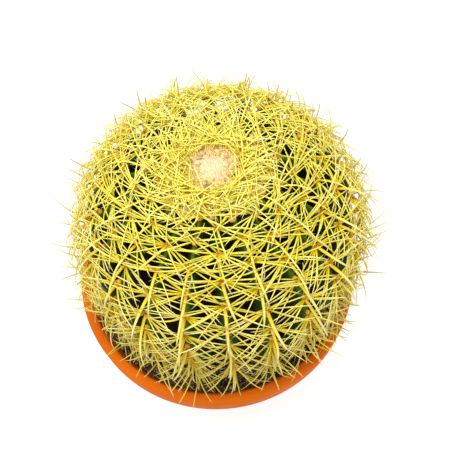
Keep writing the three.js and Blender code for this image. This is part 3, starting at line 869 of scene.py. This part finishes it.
class Spines(Batch):
    """Spines, and the fibres and strands that grow by the same rule."""

    names = ("spine_axis", "spine_side", "spine_length", "spine_width", "spine_sag", "age", "tone")
    tree = ("spine_growth", spine_tree)

    def settle(self, crest, scene, least_gap):
        """Turns spines that would run into the body, the soil or the rim, and keeps the box."""
        root, axis, side, size, width, sag, age, tone = self.columns()
        pot = scene.cactus_pot
        on_soil, on_rim = scene.cactus_soil.level + SOIL_GAP, pot.height + RIM_GAP
        low, high = np.array(CAD_LOW) + BOX_GAP, np.array(CAD_HIGH) - BOX_GAP
        heart = PLANT_PLACE - UP * HEART_BELOW
        for _ in range(SETTLING_ROUNDS):
            for share in SETTLING_SHARES:
                points = root + axis * size[:, None] * share + sag * share**2
                out = points - heart
                out /= np.linalg.norm(out, axis=1)[:, None]
                sunk = crest.clearance(to_plant(points)) < least_gap
                push = np.where(sunk[:, None], out, 0.0) * PUSH_OUT
                inside = np.hypot(points[:, 0], points[:, 1]) < pot.rim_radius - RIM_REACH
                low_down = points[:, 2] < np.where(inside, on_soil, on_rim)
                push[low_down, 2] += PUSH_UP
                size[low_down & ~inside] *= KEPT_AT_RIM
                axis = axis + push / size[:, None]
                axis /= np.linalg.norm(axis, axis=1)[:, None]
            outside = ((points < low) | (points > high)).any(1)
            size[outside] *= KEPT_AT_BOX
        self.rows = list(zip(root, axis, side, size, width, sag, age, tone))


# Pot

POT_SEGMENTS = 192
DRAIN_HOLES = 8


def quarter(centre, start, end, steps):
    """Points on a quarter of an ellipse, from centre + start round to centre + end."""
    turns = np.radians(np.linspace(0, 90, steps + 1))
    points = centre + np.outer(np.cos(turns), start) + np.outer(np.sin(turns), end)
    return [tuple(point) for point in points]


def pot_section(settings):
    """The pot's section from the base's middle round the rim to the floor inside."""
    top, outer = settings.height, settings.rim_radius
    foot, under = top - settings.skirt, top - 5 * MM
    corner, floor = 2 * MM, 3 * MM
    wall_top = outer - 6.5 * MM

    def wall_at(z):
        return settings.base_radius + (wall_top - settings.base_radius) * z / top

    def wall_between(start, end, shares, inset=0.0):
        heights = [start + (end - start) * share for share in shares]
        return [(wall_at(z) - inset, z) for z in heights]

    def near_rim(level, *places):
        """Points by their millimetres in from the rim's outside and up from a level."""
        return [(outer - inset * MM, level + rise * MM) for inset, rise in places]

    return [
        (0, 0),
        *((wall_at(0) * share, 0) for share in (0.3, 0.55, 0.8)),
        *quarter((wall_at(corner) - corner, corner), (0, -corner), (corner, 0), 4),
        *wall_between(corner, under, (0.2, 0.4, 0.6, 0.8, 1.0)),
        *near_rim(top, (3.6, -5), (2.6, -6)),
        *near_rim(foot, (2.6, 0.6), (2.0, 0), (1.0, 0), (0.4, 0.6)),
        *near_rim(top, (0.15, -12), (0, -6)),
        *quarter((outer - 4.2 * MM, top - 4.6 * MM), (4.2 * MM, 0), (0, 4.6 * MM), 8)[1:],
        *near_rim(top, (5.6, 0)),
        *quarter((outer - 6.2 * MM, top - 3.2 * MM), (0, 3.2 * MM), (-2.8 * MM, 0), 6),
        *wall_between(top - 8 * MM, 5 * MM, (0.0, 0.2, 0.4, 0.6, 0.8, 1.0), settings.wall),
        (wall_at(floor) - 5 * MM, floor),
        (50 * MM, floor),
        (0, floor),
    ]


def drain_cutters(name, reach, add):
    """One solid at each drain hole, at the same reach from the pot's axis."""
    cutters = bmesh.new()
    for i in range(DRAIN_HOLES):
        turn = Matrix.Rotation(2 * math.pi * (i + 0.5) / DRAIN_HOLES, 4, "Z")
        place = turn @ Matrix.Translation((reach, 0, 0))
        bmesh.ops.transform(cutters, matrix=place, verts=add(cutters)["verts"])
    mesh = bpy.data.meshes.new(name)
    cutters.to_mesh(mesh)
    cutters.free()
    return new_object(name, mesh)


def drain_hole(cutters):
    size = {"radius1": 6 * MM, "radius2": 6 * MM, "depth": 12 * MM}
    return bmesh.ops.create_cone(cutters, cap_ends=True, segments=28, **size)


def drain_channel(cutters):
    size = Matrix.Diagonal((30 * MM, 7 * MM, 2.4 * MM, 1.0))
    return bmesh.ops.create_cube(cutters, size=1.0, matrix=size)


class CACTUS_OT_pot(bpy.types.Operator):
    """Make the round plastic pot with its skirted rim, drain holes and channels"""

    bl_idname = "cactus.pot"
    bl_label = "Pot"

    def execute(self, context):
        settings = context.scene.cactus_pot
        (_, bottom), *section, (_, floor) = pot_section(settings)
        rings = [ring(r, z, POT_SEGMENTS) for r, z in section]
        pot = closed_rings("plastic_pot", (0, 0, bottom), rings, (0, 0, floor))
        cutters = (
            drain_cutters("drain_holes", 58 * MM, drain_hole),
            drain_cutters("drain_channels", 73 * MM, drain_channel),
        )
        for cutter in cutters:
            cut = pot.modifiers.new("cut", "BOOLEAN")
            cut.operation = "DIFFERENCE"
            cut.solver = "EXACT"
            cut.object = cutter
        keep_result(pot)
        for cutter in cutters:
            bpy.data.objects.remove(cutter)
        pot.data.set_sharp_from_angle(angle=math.radians(38))
        pot.data.materials.clear()
        pot.data.materials.append(plastic_finish(settings))
        finish_piece(pot, "pot_plastic", "pot")
        return {"FINISHED"}


# Soil

SOIL_SEGMENTS, SOIL_RINGS = 360, 30
SOIL_EDGE = 108 * MM
SOIL_FLOOR = 3.4 * MM
# Each ring of the socket as its share of the socket's radius and its depth
SOCKET_RINGS = ((0.96, 14 * MM), (0.5, 34 * MM), (0.2, 45 * MM))
SOCKET_DEPTH = 80 * MM
# The open ground lies beyond this radius and down to this depth
OPEN_FROM, OPEN_DEPTH = 60 * MM, 4 * MM
FIBRES, FALLEN = 1900, 70
# Each kind of grain with how many lie on a square metre, its least and greatest radius and the
# height of its lumps
GRAINS = (
    ("soil_crumbs", 150000.0, 0.5 * MM, 1.8 * MM, 1.2 * MM),
    ("soil_grit", 70000.0, 0.4 * MM, 1.3 * MM, 0.7 * MM),
)


def soil_mesh(settings, pot, crest):
    """The soil as a closed body, with the socket that the plant's foot stands in."""
    level = settings.level
    foot_r, foot_z = crest.at(crest.soil)
    foot = to_frame(UP * foot_z)[:2]
    socket = foot_r - 6 * MM
    wall = (
        (pot.base_radius - 6 * MM, SOIL_FLOOR),
        (pot.base_radius - 3 * MM, SOIL_FLOOR + 3 * MM),
        (SOIL_EDGE - 2.2 * MM, level - 12 * MM),
        (SOIL_EDGE, level - 1.0 * MM),
    )
    rings = [ring(r, z, SOIL_SEGMENTS) for r, z in wall]
    outer = ring(SOIL_EDGE - 0.6 * MM, level, SOIL_SEGMENTS)
    inner = ring(socket, level, SOIL_SEGMENTS, foot)
    for step in range(SOIL_RINGS + 1):
        share = step / SOIL_RINGS
        rings.append(outer * (1 - share) + inner * share)
    for share, depth in SOCKET_RINGS:
        rings.append(ring(socket * share, level - depth, SOIL_SEGMENTS, foot))
    last = (*foot, level - SOCKET_DEPTH)
    soil = closed_rings("potting_soil", (0, 0, SOIL_FLOOR), rings, last)
    loose = [0.0] * len(wall) + [0.45] + [1.0] * SOIL_RINGS + [0.0] * len(SOCKET_RINGS)
    set_values(soil.data, "loose", np.pad(np.repeat(loose, SOIL_SEGMENTS), 1))
    return soil


def open_ground(soil, inner, low):
    """Only the soil's open surface beyond a radius and above a level, to scatter on."""
    copy = soil.data.copy()
    cut = bmesh.new()
    cut.from_mesh(copy)
    hidden = []
    for face in cut.faces:
        near = face.calc_center_median().xy.length < inner
        if near or min(corner.co.z for corner in face.verts) < low:
            hidden.append(face)
    bmesh.ops.delete(cut, geom=hidden, context="FACES")
    cut.to_mesh(copy)
    cut.free()
    return copy


def soil_fibres(level, random):
    """Loose fibres that lie on the soil at all headings."""
    nearest, farthest = 66 * MM, 105 * MM
    turn = random.uniform(0, 2 * np.pi, FIBRES)
    reach = np.sqrt(random.uniform(nearest**2, farthest**2, FIBRES))
    heading = random.uniform(0, 2 * np.pi, FIBRES)
    size = random.uniform(5 * MM, 17 * MM, FIBRES)
    rise = random.uniform(-0.04, 0.10, FIBRES)
    axis = np.column_stack([np.cos(heading), np.sin(heading), rise])
    height = np.full(FIBRES, level + 2.2 * MM)
    roots = np.column_stack([reach * np.sin(turn), reach * np.cos(turn), height])
    ends = roots + axis * size[:, None]
    side = np.column_stack([-np.sin(heading), np.cos(heading), np.zeros(FIBRES)])
    sag = side * random.normal(0, 2.2 * MM, FIBRES)[:, None]
    sag[:, 2] = random.normal(0, 0.5 * MM, FIBRES)
    fibres = Spines()
    for i in np.nonzero(np.hypot(ends[:, 0], ends[:, 1]) < SOIL_EDGE - 1 * MM)[0]:
        width = random.uniform(0.35 * MM, 0.75 * MM)
        fibres.add(roots[i], axis[i], side[i], size[i], width, sag[i], 0.5, random.random())
    return fibres


def fallen_spines(level, random):
    """Old spines that lie on the soil between the plant and the rim."""
    fallen = Spines()
    for _ in range(FALLEN):
        turn, heading = random.uniform(0, 2 * np.pi, 2)
        reach = random.uniform(80 * MM, 98 * MM)
        root = np.array([reach * np.sin(turn), reach * np.cos(turn), level + 2.0 * MM])
        axis = np.array([np.cos(heading), np.sin(heading), random.uniform(-0.05, 0.05)])
        size = random.uniform(12 * MM, 22 * MM)
        end = root + axis * size
        if 70 * MM <= np.hypot(end[0], end[1]) <= SOIL_EDGE - 2 * MM:
            side = np.array([-np.sin(heading), np.cos(heading), 0.0])
            sag = side * random.normal(0, 1.5 * MM)
            fallen.add(root, axis, side, size, 0.8 * MM, sag, 1.0, random.random())
    return fallen


class CACTUS_OT_soil(bpy.types.Operator):
    """Make the potting soil with its crumbs, grit, fibres and fallen spines"""

    bl_idname = "cactus.soil"
    bl_label = "Soil"

    def execute(self, context):
        scene = context.scene
        settings = scene.cactus_soil
        soil = soil_mesh(settings, scene.cactus_pot, Crest(scene))
        peat = soil_finish("potting_peat", settings.dry_peat, settings.peat, smoothest=0.8)
        crumbs = soil_finish("peat_crumbs", settings.dry_peat, settings.peat, smoothest=0.75)
        dark_grit = shaded(settings.grit, 0.05)
        grit = soil_finish("mineral_grit", settings.grit, dark_grit, smoothest=0.6)
        values = {"Relief": settings.relief, "Material": peat}
        grown(soil, group_named("rough_ground", ground_tree), values)
        grains = group_named("scattered_grains", grain_tree)
        labels = ("Density", "Smallest", "Largest", "Lumpiness", "Material", "Seed")
        seeds = (settings.seed, settings.seed + 20)
        for (name, *sizes), *rest in zip(GRAINS, (crumbs, grit), seeds):
            ground = new_object(name, open_ground(soil, OPEN_FROM, settings.level - OPEN_DEPTH))
            grown(ground, grains, dict(zip(labels, (*sizes, *rest))))
            finish_piece(ground, "soil")
        random = np.random.default_rng(settings.seed)
        dark_fibre = shaded(settings.fibre, 0.45)
        fibre = soil_finish("soil_fibre", settings.fibre, dark_fibre, smoothest=0.7)
        fibres = soil_fibres(settings.level, random)
        fibres.piece("soil_fibres", "soil", fibre, Sides=3, Segments=5, Fullness=0.6)
        dry = spine_finish("fallen_spine", scene.cactus_spines, root_share=0.1, rings=30.0)
        fallen_spines(settings.level, random).piece("fallen_spines", "spine", dry)
        finish_piece(soil, "soil", "soil")
        return {"FINISHED"}


# Body

COLUMNS_PER_RIB = 16
# The rows of points on the crown and on the flank: where they start and how many there are
CROWN_ROWS = (1.2 * MM, 12)
FLANK_ROWS = (21.7 * MM, 128)
CROWN_EDGE = 20 * MM
BURIED = 5 * MM
# Each ring of the buried foot as its share of the last crest radius and its depth below it
FOOT_RINGS = ((0.93, 10 * MM), (0.70, 22 * MM), (0.41, 30 * MM), (0.13, 36 * MM), (0.08, 60 * MM))
FOOT_DEPTH = 68 * MM


def body_mesh(ribs, crest):
    """The body as a smooth turned shape that carries what its ribs are folded by."""
    ends = crest.soil + BURIED
    rows = ((CROWN_ROWS, CROWN_EDGE), (FLANK_ROWS, ends))
    stations = np.concatenate([np.linspace(start, to, count) for (start, count), to in rows])
    shares, depths = np.array(FOOT_RINGS).T
    r, z = crest.at(stations)
    r, z = np.append(r, r[-1] * shares), np.append(z, z[-1] - depths)
    slopes = [np.append(part, 0 * shares) for part in crest.slope(stations)]
    slope_r, slope_z = (part[:, None, None] for part in slopes)
    s = np.append(stations, np.full(len(shares), ends))
    column = np.arange(ribs * COLUMNS_PER_RIB)
    azimuth = 2 * np.pi * column / len(column)
    ahead = np.stack([np.sin(azimuth), -np.cos(azimuth), 0 * azimuth], 1)
    inward = (ahead * slope_z - UP * slope_r).reshape(-1, 3)
    phase = (column % COLUMNS_PER_RIB) / COLUMNS_PER_RIB
    across = np.where(phase > 0.5, 2 * phase - 2, 2 * phase)
    rib = np.round(column / COLUMNS_PER_RIB).astype(int) % ribs
    first = np.where(rib % 2 == 0, *FIRST_AREOLES)
    station = (s[:, None] - first) / AREOLE_PITCH
    rings = ahead * r[:, None, None] + UP * z[:, None, None]
    top = (0, 0, crest.at(0.0)[1])
    bottom = (0, 0, crest.at(ends)[1] - FOOT_DEPTH)
    body = closed_rings("ribbed_body", top, rings, bottom)
    down = np.pad(np.repeat(s, len(column)), 1, constant_values=(0, ends))
    set_values(body.data, "inward", np.pad(inward, ((1, 1), (0, 0))))
    set_values(body.data, "from_crown", down)
    set_values(body.data, "across", np.pad(np.tile(across, len(s)), 1))
    set_values(body.data, "station", np.pad(station.ravel(), 1))
    return body


class CACTUS_OT_body(bpy.types.Operator):
    """Make the plant's ribbed body"""

    bl_idname = "cactus.body"
    bl_label = "Body"

    def execute(self, context):
        settings = context.scene.cactus_body
        crest = Crest(context.scene)
        body = body_mesh(settings.ribs, crest)
        values = {
            "Furrow Depth": settings.furrow,
            "Areole Swelling": settings.swelling,
            "Soil Distance": crest.soil,
            "Material": skin_finish(settings),
        }
        grown(body, group_named("rib_folding", rib_tree), values)
        body.data.transform(PLANT)
        finish_piece(body, "cactus_skin", "cactus_body")
        return {"FINISHED"}


# Spines and areoles

# Each radial spine as its angle from east towards down the rib, its lift and its share of length
RADIALS = (
    (-46, 24, 0.76),
    (-15, 13, 1.00),
    (-4, 10, 1.06),
    (8, 10, 1.08),
    (19, 12, 1.04),
    (33, 14, 0.98),
    (64, 14, 0.84),
    (116, 14, 0.84),
    (147, 14, 0.98),
    (161, 12, 1.04),
    (172, 10, 1.08),
    (184, 10, 1.06),
    (195, 13, 1.00),
    (226, 24, 0.76),
)
# Each central spine likewise, with its share of the lowest one's width, its bend in millimetres
# and the chance that it is missing
CENTRALS = (
    (90, 38, 1.02, 1.00, 23.0, 0.00),
    (12, 38, 0.96, 0.64, 19.0, 0.15),
    (168, 38, 0.96, 0.64, 19.0, 0.15),
    (236, 50, 0.82, 0.50, 13.0, 0.72),
    (270, 56, 0.88, 0.56, 15.0, 0.45),
    (304, 50, 0.82, 0.50, 13.0, 0.72),
)
# How spines vary: shares of length and width, and for those that stand up their chance and lift
LENGTHS = (0.86, 1.12)
RADIAL_WIDTHS, CENTRAL_WIDTHS = (0.85, 1.12), (0.88, 1.1)
STANDING_CHANCE, STANDING_LIFTS = 0.1, (10, 28)
STEEPEST = 78
CUSHION = np.array([1.8, 2.4, 1.8]) * MM
CUSHION_SHARES = (0.9, 1.12)
AREOLE_FIBRES, FIBRE_WIDTH = 22, 0.22 * MM


def add_radials(spines, areole, settings, random):
    """Adds an areole's radial spines, fewer of them where it is crowded, low or bare."""
    s, young, low, drooping = areole.s, areole.young, areole.low, areole.drooping
    crowded = 0.5 * (1 - smooth_step(s, 35 * MM, 65 * MM))
    for angle, rise, share in RADIALS:
        slanting = abs(math.cos(math.radians(angle))) < 0.94
        missing = 0.06 + 0.42 * drooping + 0.48 * areole.bare + 0.3 * slanting * (1 - young)
        missing = max(missing, crowded)
        if angle < -20 or angle > 200:
            missing = 0.55
        if 50 < angle < 130:
            missing = 1 - 0.4 * max(drooping, young * (s > 50 * MM))
        if random.random() < missing:
            continue
        turn = angle + random.normal(0, 3.0)
        gathered = 0.7 if 15 < angle < 165 else 0.3
        turn += gathered * drooping * (90 - turn)
        lift = rise + 5 + 9 * young + random.normal(0, 3.0) + 6 * low
        standing = random.random() < STANDING_CHANCE
        lift += standing * random.uniform(*STANDING_LIFTS)
        axis, side = areole.direction(turn, lift)
        size = settings.radial * share * random.uniform(*LENGTHS)
        size *= 1 - random.uniform(-0.15, 0.3) * drooping
        width = settings.radial_width * random.uniform(*RADIAL_WIDTHS)
        width *= (1 + 0.04 * young - 0.05 * drooping) * (1 - 0.15 * standing)
        limp = (1 - 0.7 * standing) * MM
        sag = areole.out * -random.uniform(3.0, 7.0) * limp
        sag += side * random.normal(0, 2.2) * MM
        slump = random.uniform(0.6, 1.2) * (1.5 + 6.0 * low) * (1 - young)
        sag += areole.down * slump * limp
        root = areole.heart + axis * 0.8 * MM
        spines.add(root, axis, side, size, width, sag, areole.age, random.random())


def add_centrals(spines, areole, settings, random):
    """Adds an areole's central spines, of which the lowest is the widest and never missing."""
    young, drooping = areole.young, areole.drooping
    for angle, rise, share, wide, bend, missing in CENTRALS:
        lowest = angle == 90
        missing += 0.3 * areole.bare * (angle > 180) + 0.25 * (areole.s < 55 * MM)
        if random.random() < missing:
            continue
        turn = angle + random.normal(0, 5.5 if lowest else 8)
        turn += 0.6 * drooping * (90 - turn) * (angle < 180)
        lift = rise + 8 * young + random.normal(0, 5)
        axis, side = areole.direction(turn, min(lift, STEEPEST))
        size = settings.central * share * random.uniform(*LENGTHS)
        size *= (1 - 0.08 * young) * (1 + 0.14 * drooping)
        width = settings.central_width * wide * random.uniform(*CENTRAL_WIDTHS)
        width *= 1 - 0.45 * young - 0.35 * drooping * lowest
        sag = areole.out * -bend * random.uniform(0.7, 1.25) * (1 - 0.35 * drooping) * MM
        sag += side * random.normal(0, 4.8 if lowest else 3.2) * MM - UP * 3.0 * MM * areole.old
        root = areole.heart + axis * 0.6 * MM
        tone = random.random()
        if lowest:
            tone = 0.6 + 0.4 * tone
        spines.add(root, axis, side, size, width, sag, areole.age + 0.1, tone)


class CACTUS_OT_spines(bpy.types.Operator):
    """Grow the radial and central spines on the ribs' areoles"""

    bl_idname = "cactus.spines"
    bl_label = "Spines"

    def execute(self, context):
        scene = context.scene
        settings, crest = scene.cactus_spines, Crest(scene)
        random = np.random.default_rng(settings.seed)
        radials, centrals = Spines(), Spines()
        for areole in areoles(scene, crest):
            add_radials(radials, areole, settings, random)
            add_centrals(centrals, areole, settings, random)
        radials.settle(crest, scene, least_gap=-1.0 * MM)
        centrals.settle(crest, scene, least_gap=2.4 * MM)
        thin = spine_finish("radial_spine", settings, root_share=0.17, rings=70.0)
        sizes = {"Sides": 5, "Segments": 5, "Fullness": 0.64, "Flatness": 0.86}
        radials.piece("radial_spines", "spine", thin, "spines", **sizes)
        thick = spine_finish("central_spine", settings, root_share=0.22, rings=150.0)
        sizes = {"Sides": 6, "Segments": 9, "Fullness": 0.52, "Flatness": 0.66}
        centrals.piece("central_spines", "spine", thick, "spines", **sizes)
        return {"FINISHED"}


class CACTUS_OT_areoles(bpy.types.Operator):
    """Make the felt cushions of the areoles and their short fibres"""

    bl_idname = "cactus.areoles"
    bl_label = "Areoles"

    def execute(self, context):
        scene = context.scene
        settings = scene.cactus_spines
        random = np.random.default_rng(settings.seed + 1)
        cushions, fuzz = Tufts(), Spines()
        for areole in areoles(scene, Crest(scene)):
            young = 1 - smooth_step(areole.s, 20 * MM, 110 * MM)
            size = CUSHION * random.uniform(*CUSHION_SHARES) * (1 + 0.25 * young)
            tone = random.random() ** 2.2
            cushions.add(areole.above(1.3 * MM), areole.out, areole.east, size, tone)
            for _ in range(AREOLE_FIBRES):
                axis, side = areole.direction(random.uniform(0, 360), random.uniform(18, 88))
                root = areole.above(1.0 * MM) + axis * 1.5 * MM
                size = random.uniform(1.2, 2.6) * MM
                sag = side * random.normal(0, 0.5) * MM
                fuzz.add(root, axis, side, size, FIBRE_WIDTH, sag, 0.3, tone)
        felt = felt_finish("areole_felt", settings.felt, settings.old_felt, scale=160.0)
        cushions.piece("areole_felt", "areole_felt", felt, "spines", Detail=2)
        light = shaded(settings.felt, 1.3)
        fibre = felt_finish("felt_fibre", light, settings.old_felt, scale=200.0)
        fuzz.piece("areole_fibres", "areole_felt", fibre, "spines", Sides=3, Segments=2)
        return {"FINISHED"}


# Crown

GOLDEN_TURN = math.pi * (3 - math.sqrt(5))
CROWN_CORE = 8 * MM
CROWN_REACH = 40 * MM
CROWN_TUFTS = 900
CROWN_STRANDS, STRAND_WIDTH = 2400, 0.24 * MM
LONG_SHOOTS, SHORT_SHOOTS = 170, 150
# Where the strands and the shoots grow: how far from the crown's middle and in how wide a band
STRAND_BAND = (8 * MM, 21 * MM)
LONG_BAND, SHORT_BAND = (14 * MM, 20 * MM), (12 * MM, 16 * MM)


def heaped(s):
    """How much the wool is heaped up at a distance from the crown's middle, from 0 to 1."""
    return math.exp(-((s / (1.4 * CROWN_CORE)) ** 2))


def loose_spot(crest, random, nearest, band):
    """A spot at any azimuth in a band round the crown's middle."""
    s = nearest + band * random.random()
    return Spot(crest, s, random.uniform(0, 2 * math.pi))


def crown_tufts(crest, random):
    """Wool that thins out and gets rougher and darker away from the crown's middle, the darker tan
    partly the wool's own colour and partly painted shade among the young spines.
    """
    tufts = Tufts()
    for i in range(CROWN_TUFTS):
        s = CROWN_REACH * math.sqrt((i + 0.5) / CROWN_TUFTS)
        if random.random() < 0.8 * smooth_step(s, 22 * MM, CROWN_REACH):
            continue
        s += random.uniform(0, 1.6) * MM
        spot = Spot(crest, s, i * GOLDEN_TURN + random.normal(0, 0.5))
        soft = 1 - smooth_step(s, 0.6 * CROWN_CORE, 1.8 * CROWN_CORE)
        rough = random.uniform(-0.6, 0.9) * (1 - soft)
        wide = (2.2 + 1.6 * soft) * random.uniform(0.65, 1.25)
        size = np.array([wide, wide, 1.5 + 0.3 * soft]) * MM
        # Painted shade: the wool darkens to tan away from the middle, where the young spines stand
        tan_shade_share = smooth_step(s, 0.4 * CROWN_CORE, 2.8 * CROWN_CORE)
        tone = tan_shade_share * random.uniform(0.15 + 0.4 * smooth_step(s, 12 * MM, 24 * MM), 1.0)
        place = spot.above((1.0 + 2.6 * heaped(s) + rough) * MM)
        tufts.add(place, spot.out, spot.east, size, tone)
    return tufts


def crown_strands(crest, random):
    """Loose strands of wool that lie round the crown's middle."""
    strands = Spines()
    for _ in range(CROWN_STRANDS):
        spot = loose_spot(crest, random, *STRAND_BAND)
        axis, side = spot.direction(random.uniform(0, 360), random.uniform(0, 28))
        root = spot.above((1.8 + 3.6 * heaped(spot.s)) * MM)
        size = random.uniform(2.5, 6.5) * MM
        sag = side * random.normal(0, 2.4) * MM - spot.out * random.uniform(0, 1.2) * MM
        # The strands darken to tan outwards in the same painted shade
        tone = smooth_step(spot.s, 0.8 * CROWN_CORE, 2.2 * CROWN_CORE) * random.random()
        strands.add(root, axis, side, size, STRAND_WIDTH, sag, 0.0, tone)
    return strands


def crown_shoots(crest, random):
    """Young spines that lie outwards round the crown, and short ones that stand in its wool."""
    shoots = Spines()
    for _ in range(LONG_SHOOTS):
        spot = loose_spot(crest, random, *LONG_BAND)
        heading = random.choice((20, 160)) + random.normal(0, 18)
        if random.random() < 0.55:
            heading = 90 + random.normal(0, 30)
        axis, side = spot.direction(heading, random.uniform(12, 46))
        size = random.uniform(18, 34) * MM
        sag = side * random.normal(0, 6.5) * MM - spot.out * random.uniform(3, 9) * MM
        width = random.uniform(1.2, 1.7) * MM
        shoots.add(spot.above(2 * MM), axis, side, size, width, sag, 0.1, random.random())
    for _ in range(SHORT_SHOOTS):
        spot = loose_spot(crest, random, *SHORT_BAND)
        axis, side = spot.direction(90 + random.normal(0, 60), random.uniform(30, 78))
        size = random.uniform(6, 15) * MM
        sag = side * random.normal(0, 1.5) * MM
        shoots.add(spot.above(2 * MM), axis, side, size, 0.7 * MM, sag, 0.1, random.random())
    return shoots


class CACTUS_OT_crown(bpy.types.Operator):
    """Make the crown's wool and the young spines that stand in it"""

    bl_idname = "cactus.crown"
    bl_label = "Crown"

    def execute(self, context):
        scene = context.scene
        settings, crest = scene.cactus_spines, Crest(scene)
        random = np.random.default_rng(settings.seed + 2)
        colours = (settings.wool, settings.shaded_tan_wool)
        tufts = crown_tufts(crest, random)
        wool = felt_finish("crown_wool", *colours, scale=60.0)
        tufts.piece("crown_wool", "crown_wool", wool, "spines", Detail=2, Lumpiness=1 * MM)
        strands = crown_strands(crest, random)
        fluff = felt_finish("crown_fluff", *colours, scale=110.0)
        sizes = {"Sides": 3, "Segments": 3, "Fullness": 0.6}
        strands.piece("crown_fluff", "crown_wool", fluff, "spines", **sizes)
        shoots = crown_shoots(crest, random)
        shoots.settle(crest, scene, least_gap=3.0 * MM)
        fresh = spine_finish("crown_spine", settings, root_share=0.10, rings=40.0)
        sizes = {"Sides": 4, "Segments": 4, "Fullness": 0.45}
        shoots.piece("crown_spines", "spine", fresh, "spines", **sizes)
        return {"FINISHED"}


# The stage


def studio_lamp(power):
    """The large soft lamp above the plant's left front, aimed at the plant."""
    data = bpy.data.lights.new("key_lamp", "AREA")
    data.shape = "SQUARE"
    data.size = 0.6
    data.energy = power
    data.color = (1.0, 0.995, 0.98)
    place, target = Vector((-0.12, -0.1, 1.2)), Vector((0, 0, 0.2))
    lamp = new_object("key_lamp", data)
    lamp.location = place
    lamp.rotation_euler = (target - place).to_track_quat("-Z", "Y").to_euler()


def studio_camera():
    """The camera at the height and turn that the rim's outline in the photograph gives."""
    elevation, roll = math.radians(65.8), math.radians(-6.26)
    distance, aside, aloft = 0.573, 0.0201, 0.0632
    sensor, photo_width, focal_pixels = 36.0, 450.0, 646.6
    target = Vector((0, 0, POT_HIGH.z - 2 * MM))
    back = Vector((0, -math.cos(elevation), math.sin(elevation)))
    right = Vector((1, 0, 0))
    up = back.cross(right)
    ahead = (-back + right * aside + up * aloft).normalized()
    right = ahead.cross(up).normalized()
    up = right.cross(ahead)
    axis_x = right * math.cos(roll) + up * math.sin(roll)
    axis_y = up * math.cos(roll) - right * math.sin(roll)
    data = bpy.data.cameras.new("studio_camera")
    data.sensor_width = sensor
    data.lens = focal_pixels / photo_width * sensor
    data.clip_start = 0.01
    data.clip_end = 20.0
    camera = new_object("studio_camera", data)
    turn = Matrix((axis_x, axis_y, -ahead)).transposed()
    camera.matrix_world = Matrix.Translation(target + back * distance) @ turn.to_4x4()
    return camera


class CACTUS_OT_stage(bpy.types.Operator):
    """Make the pale floor, the soft lights and the camera"""

    bl_idname = "cactus.stage"
    bl_label = "Stage"

    def execute(self, context):
        scene = context.scene
        settings = scene.cactus_stage
        half = 3.0
        corners = [(-half, -half, 0), (half, -half, 0), (half, half, 0), (-half, half, 0)]
        floor = mesh_object("studio_floor", corners, [(0, 1, 2, 3)], smooth=False)
        glow = {"Roughness": 0.9, "Emission Strength": settings.glow}
        paper = Finish("studio_paper", 0.1, glow)
        tint = paper.drift(settings.floor, shaded(settings.floor, 0.985), 3.0, 2.0)
        paper.feed({"Base Color": tint, "Emission Color": tint})
        floor.data.materials.append(paper.material)
        scene.world = bpy.data.worlds.new("studio_light")
        scene.world.use_nodes = True
        sky = scene.world.node_tree.nodes["Background"]
        sky.inputs["Color"].default_value = WHITE
        sky.inputs["Strength"].default_value = settings.sky
        studio_lamp(settings.key)
        scene.camera = studio_camera()
        scene.view_settings.view_transform = "Standard"
        return {"FINISHED"}


# The add-on

SETTINGS = {
    "cactus_pot": PotSettings,
    "cactus_soil": SoilSettings,
    "cactus_body": BodySettings,
    "cactus_spines": SpineSettings,
    "cactus_stage": StageSettings,
}
OPERATORS = (
    CACTUS_OT_stage,
    CACTUS_OT_pot,
    CACTUS_OT_soil,
    CACTUS_OT_body,
    CACTUS_OT_areoles,
    CACTUS_OT_spines,
    CACTUS_OT_crown,
)


class CACTUS_PT_panel(bpy.types.Panel):
    """Lists the cactus's pieces and sizes"""

    bl_label = "Potted cactus"
    bl_idname = "CACTUS_PT_panel"
    bl_space_type = "VIEW_3D"
    bl_region_type = "UI"
    bl_category = "Cactus"

    def draw(self, context):
        layout = self.layout
        for key in SETTINGS:
            group = getattr(context.scene, key)
            box = layout.box()
            box.label(text=key.replace("_", " "))
            for name in group.__annotations__:
                box.prop(group, name)
        for operator in OPERATORS:
            layout.operator(operator.bl_idname)


def register():
    for key, group in SETTINGS.items():
        bpy.utils.register_class(group)
        setattr(bpy.types.Scene, key, PointerProperty(type=group))
    for operator in OPERATORS:
        bpy.utils.register_class(operator)
    bpy.utils.register_class(CACTUS_PT_panel)


def unregister():
    bpy.utils.unregister_class(CACTUS_PT_panel)
    for operator in reversed(OPERATORS):
        bpy.utils.unregister_class(operator)
    for key, group in SETTINGS.items():
        delattr(bpy.types.Scene, key)
        bpy.utils.unregister_class(group)


def main():
    """Registers the add-on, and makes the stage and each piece."""
    register()
    bpy.ops.cactus.stage()
    bpy.ops.cactus.pot()
    bpy.ops.cactus.soil()
    bpy.ops.cactus.body()
    bpy.ops.cactus.areoles()
    bpy.ops.cactus.spines()
    bpy.ops.cactus.crown()


if __name__ == "__main__":
    main()
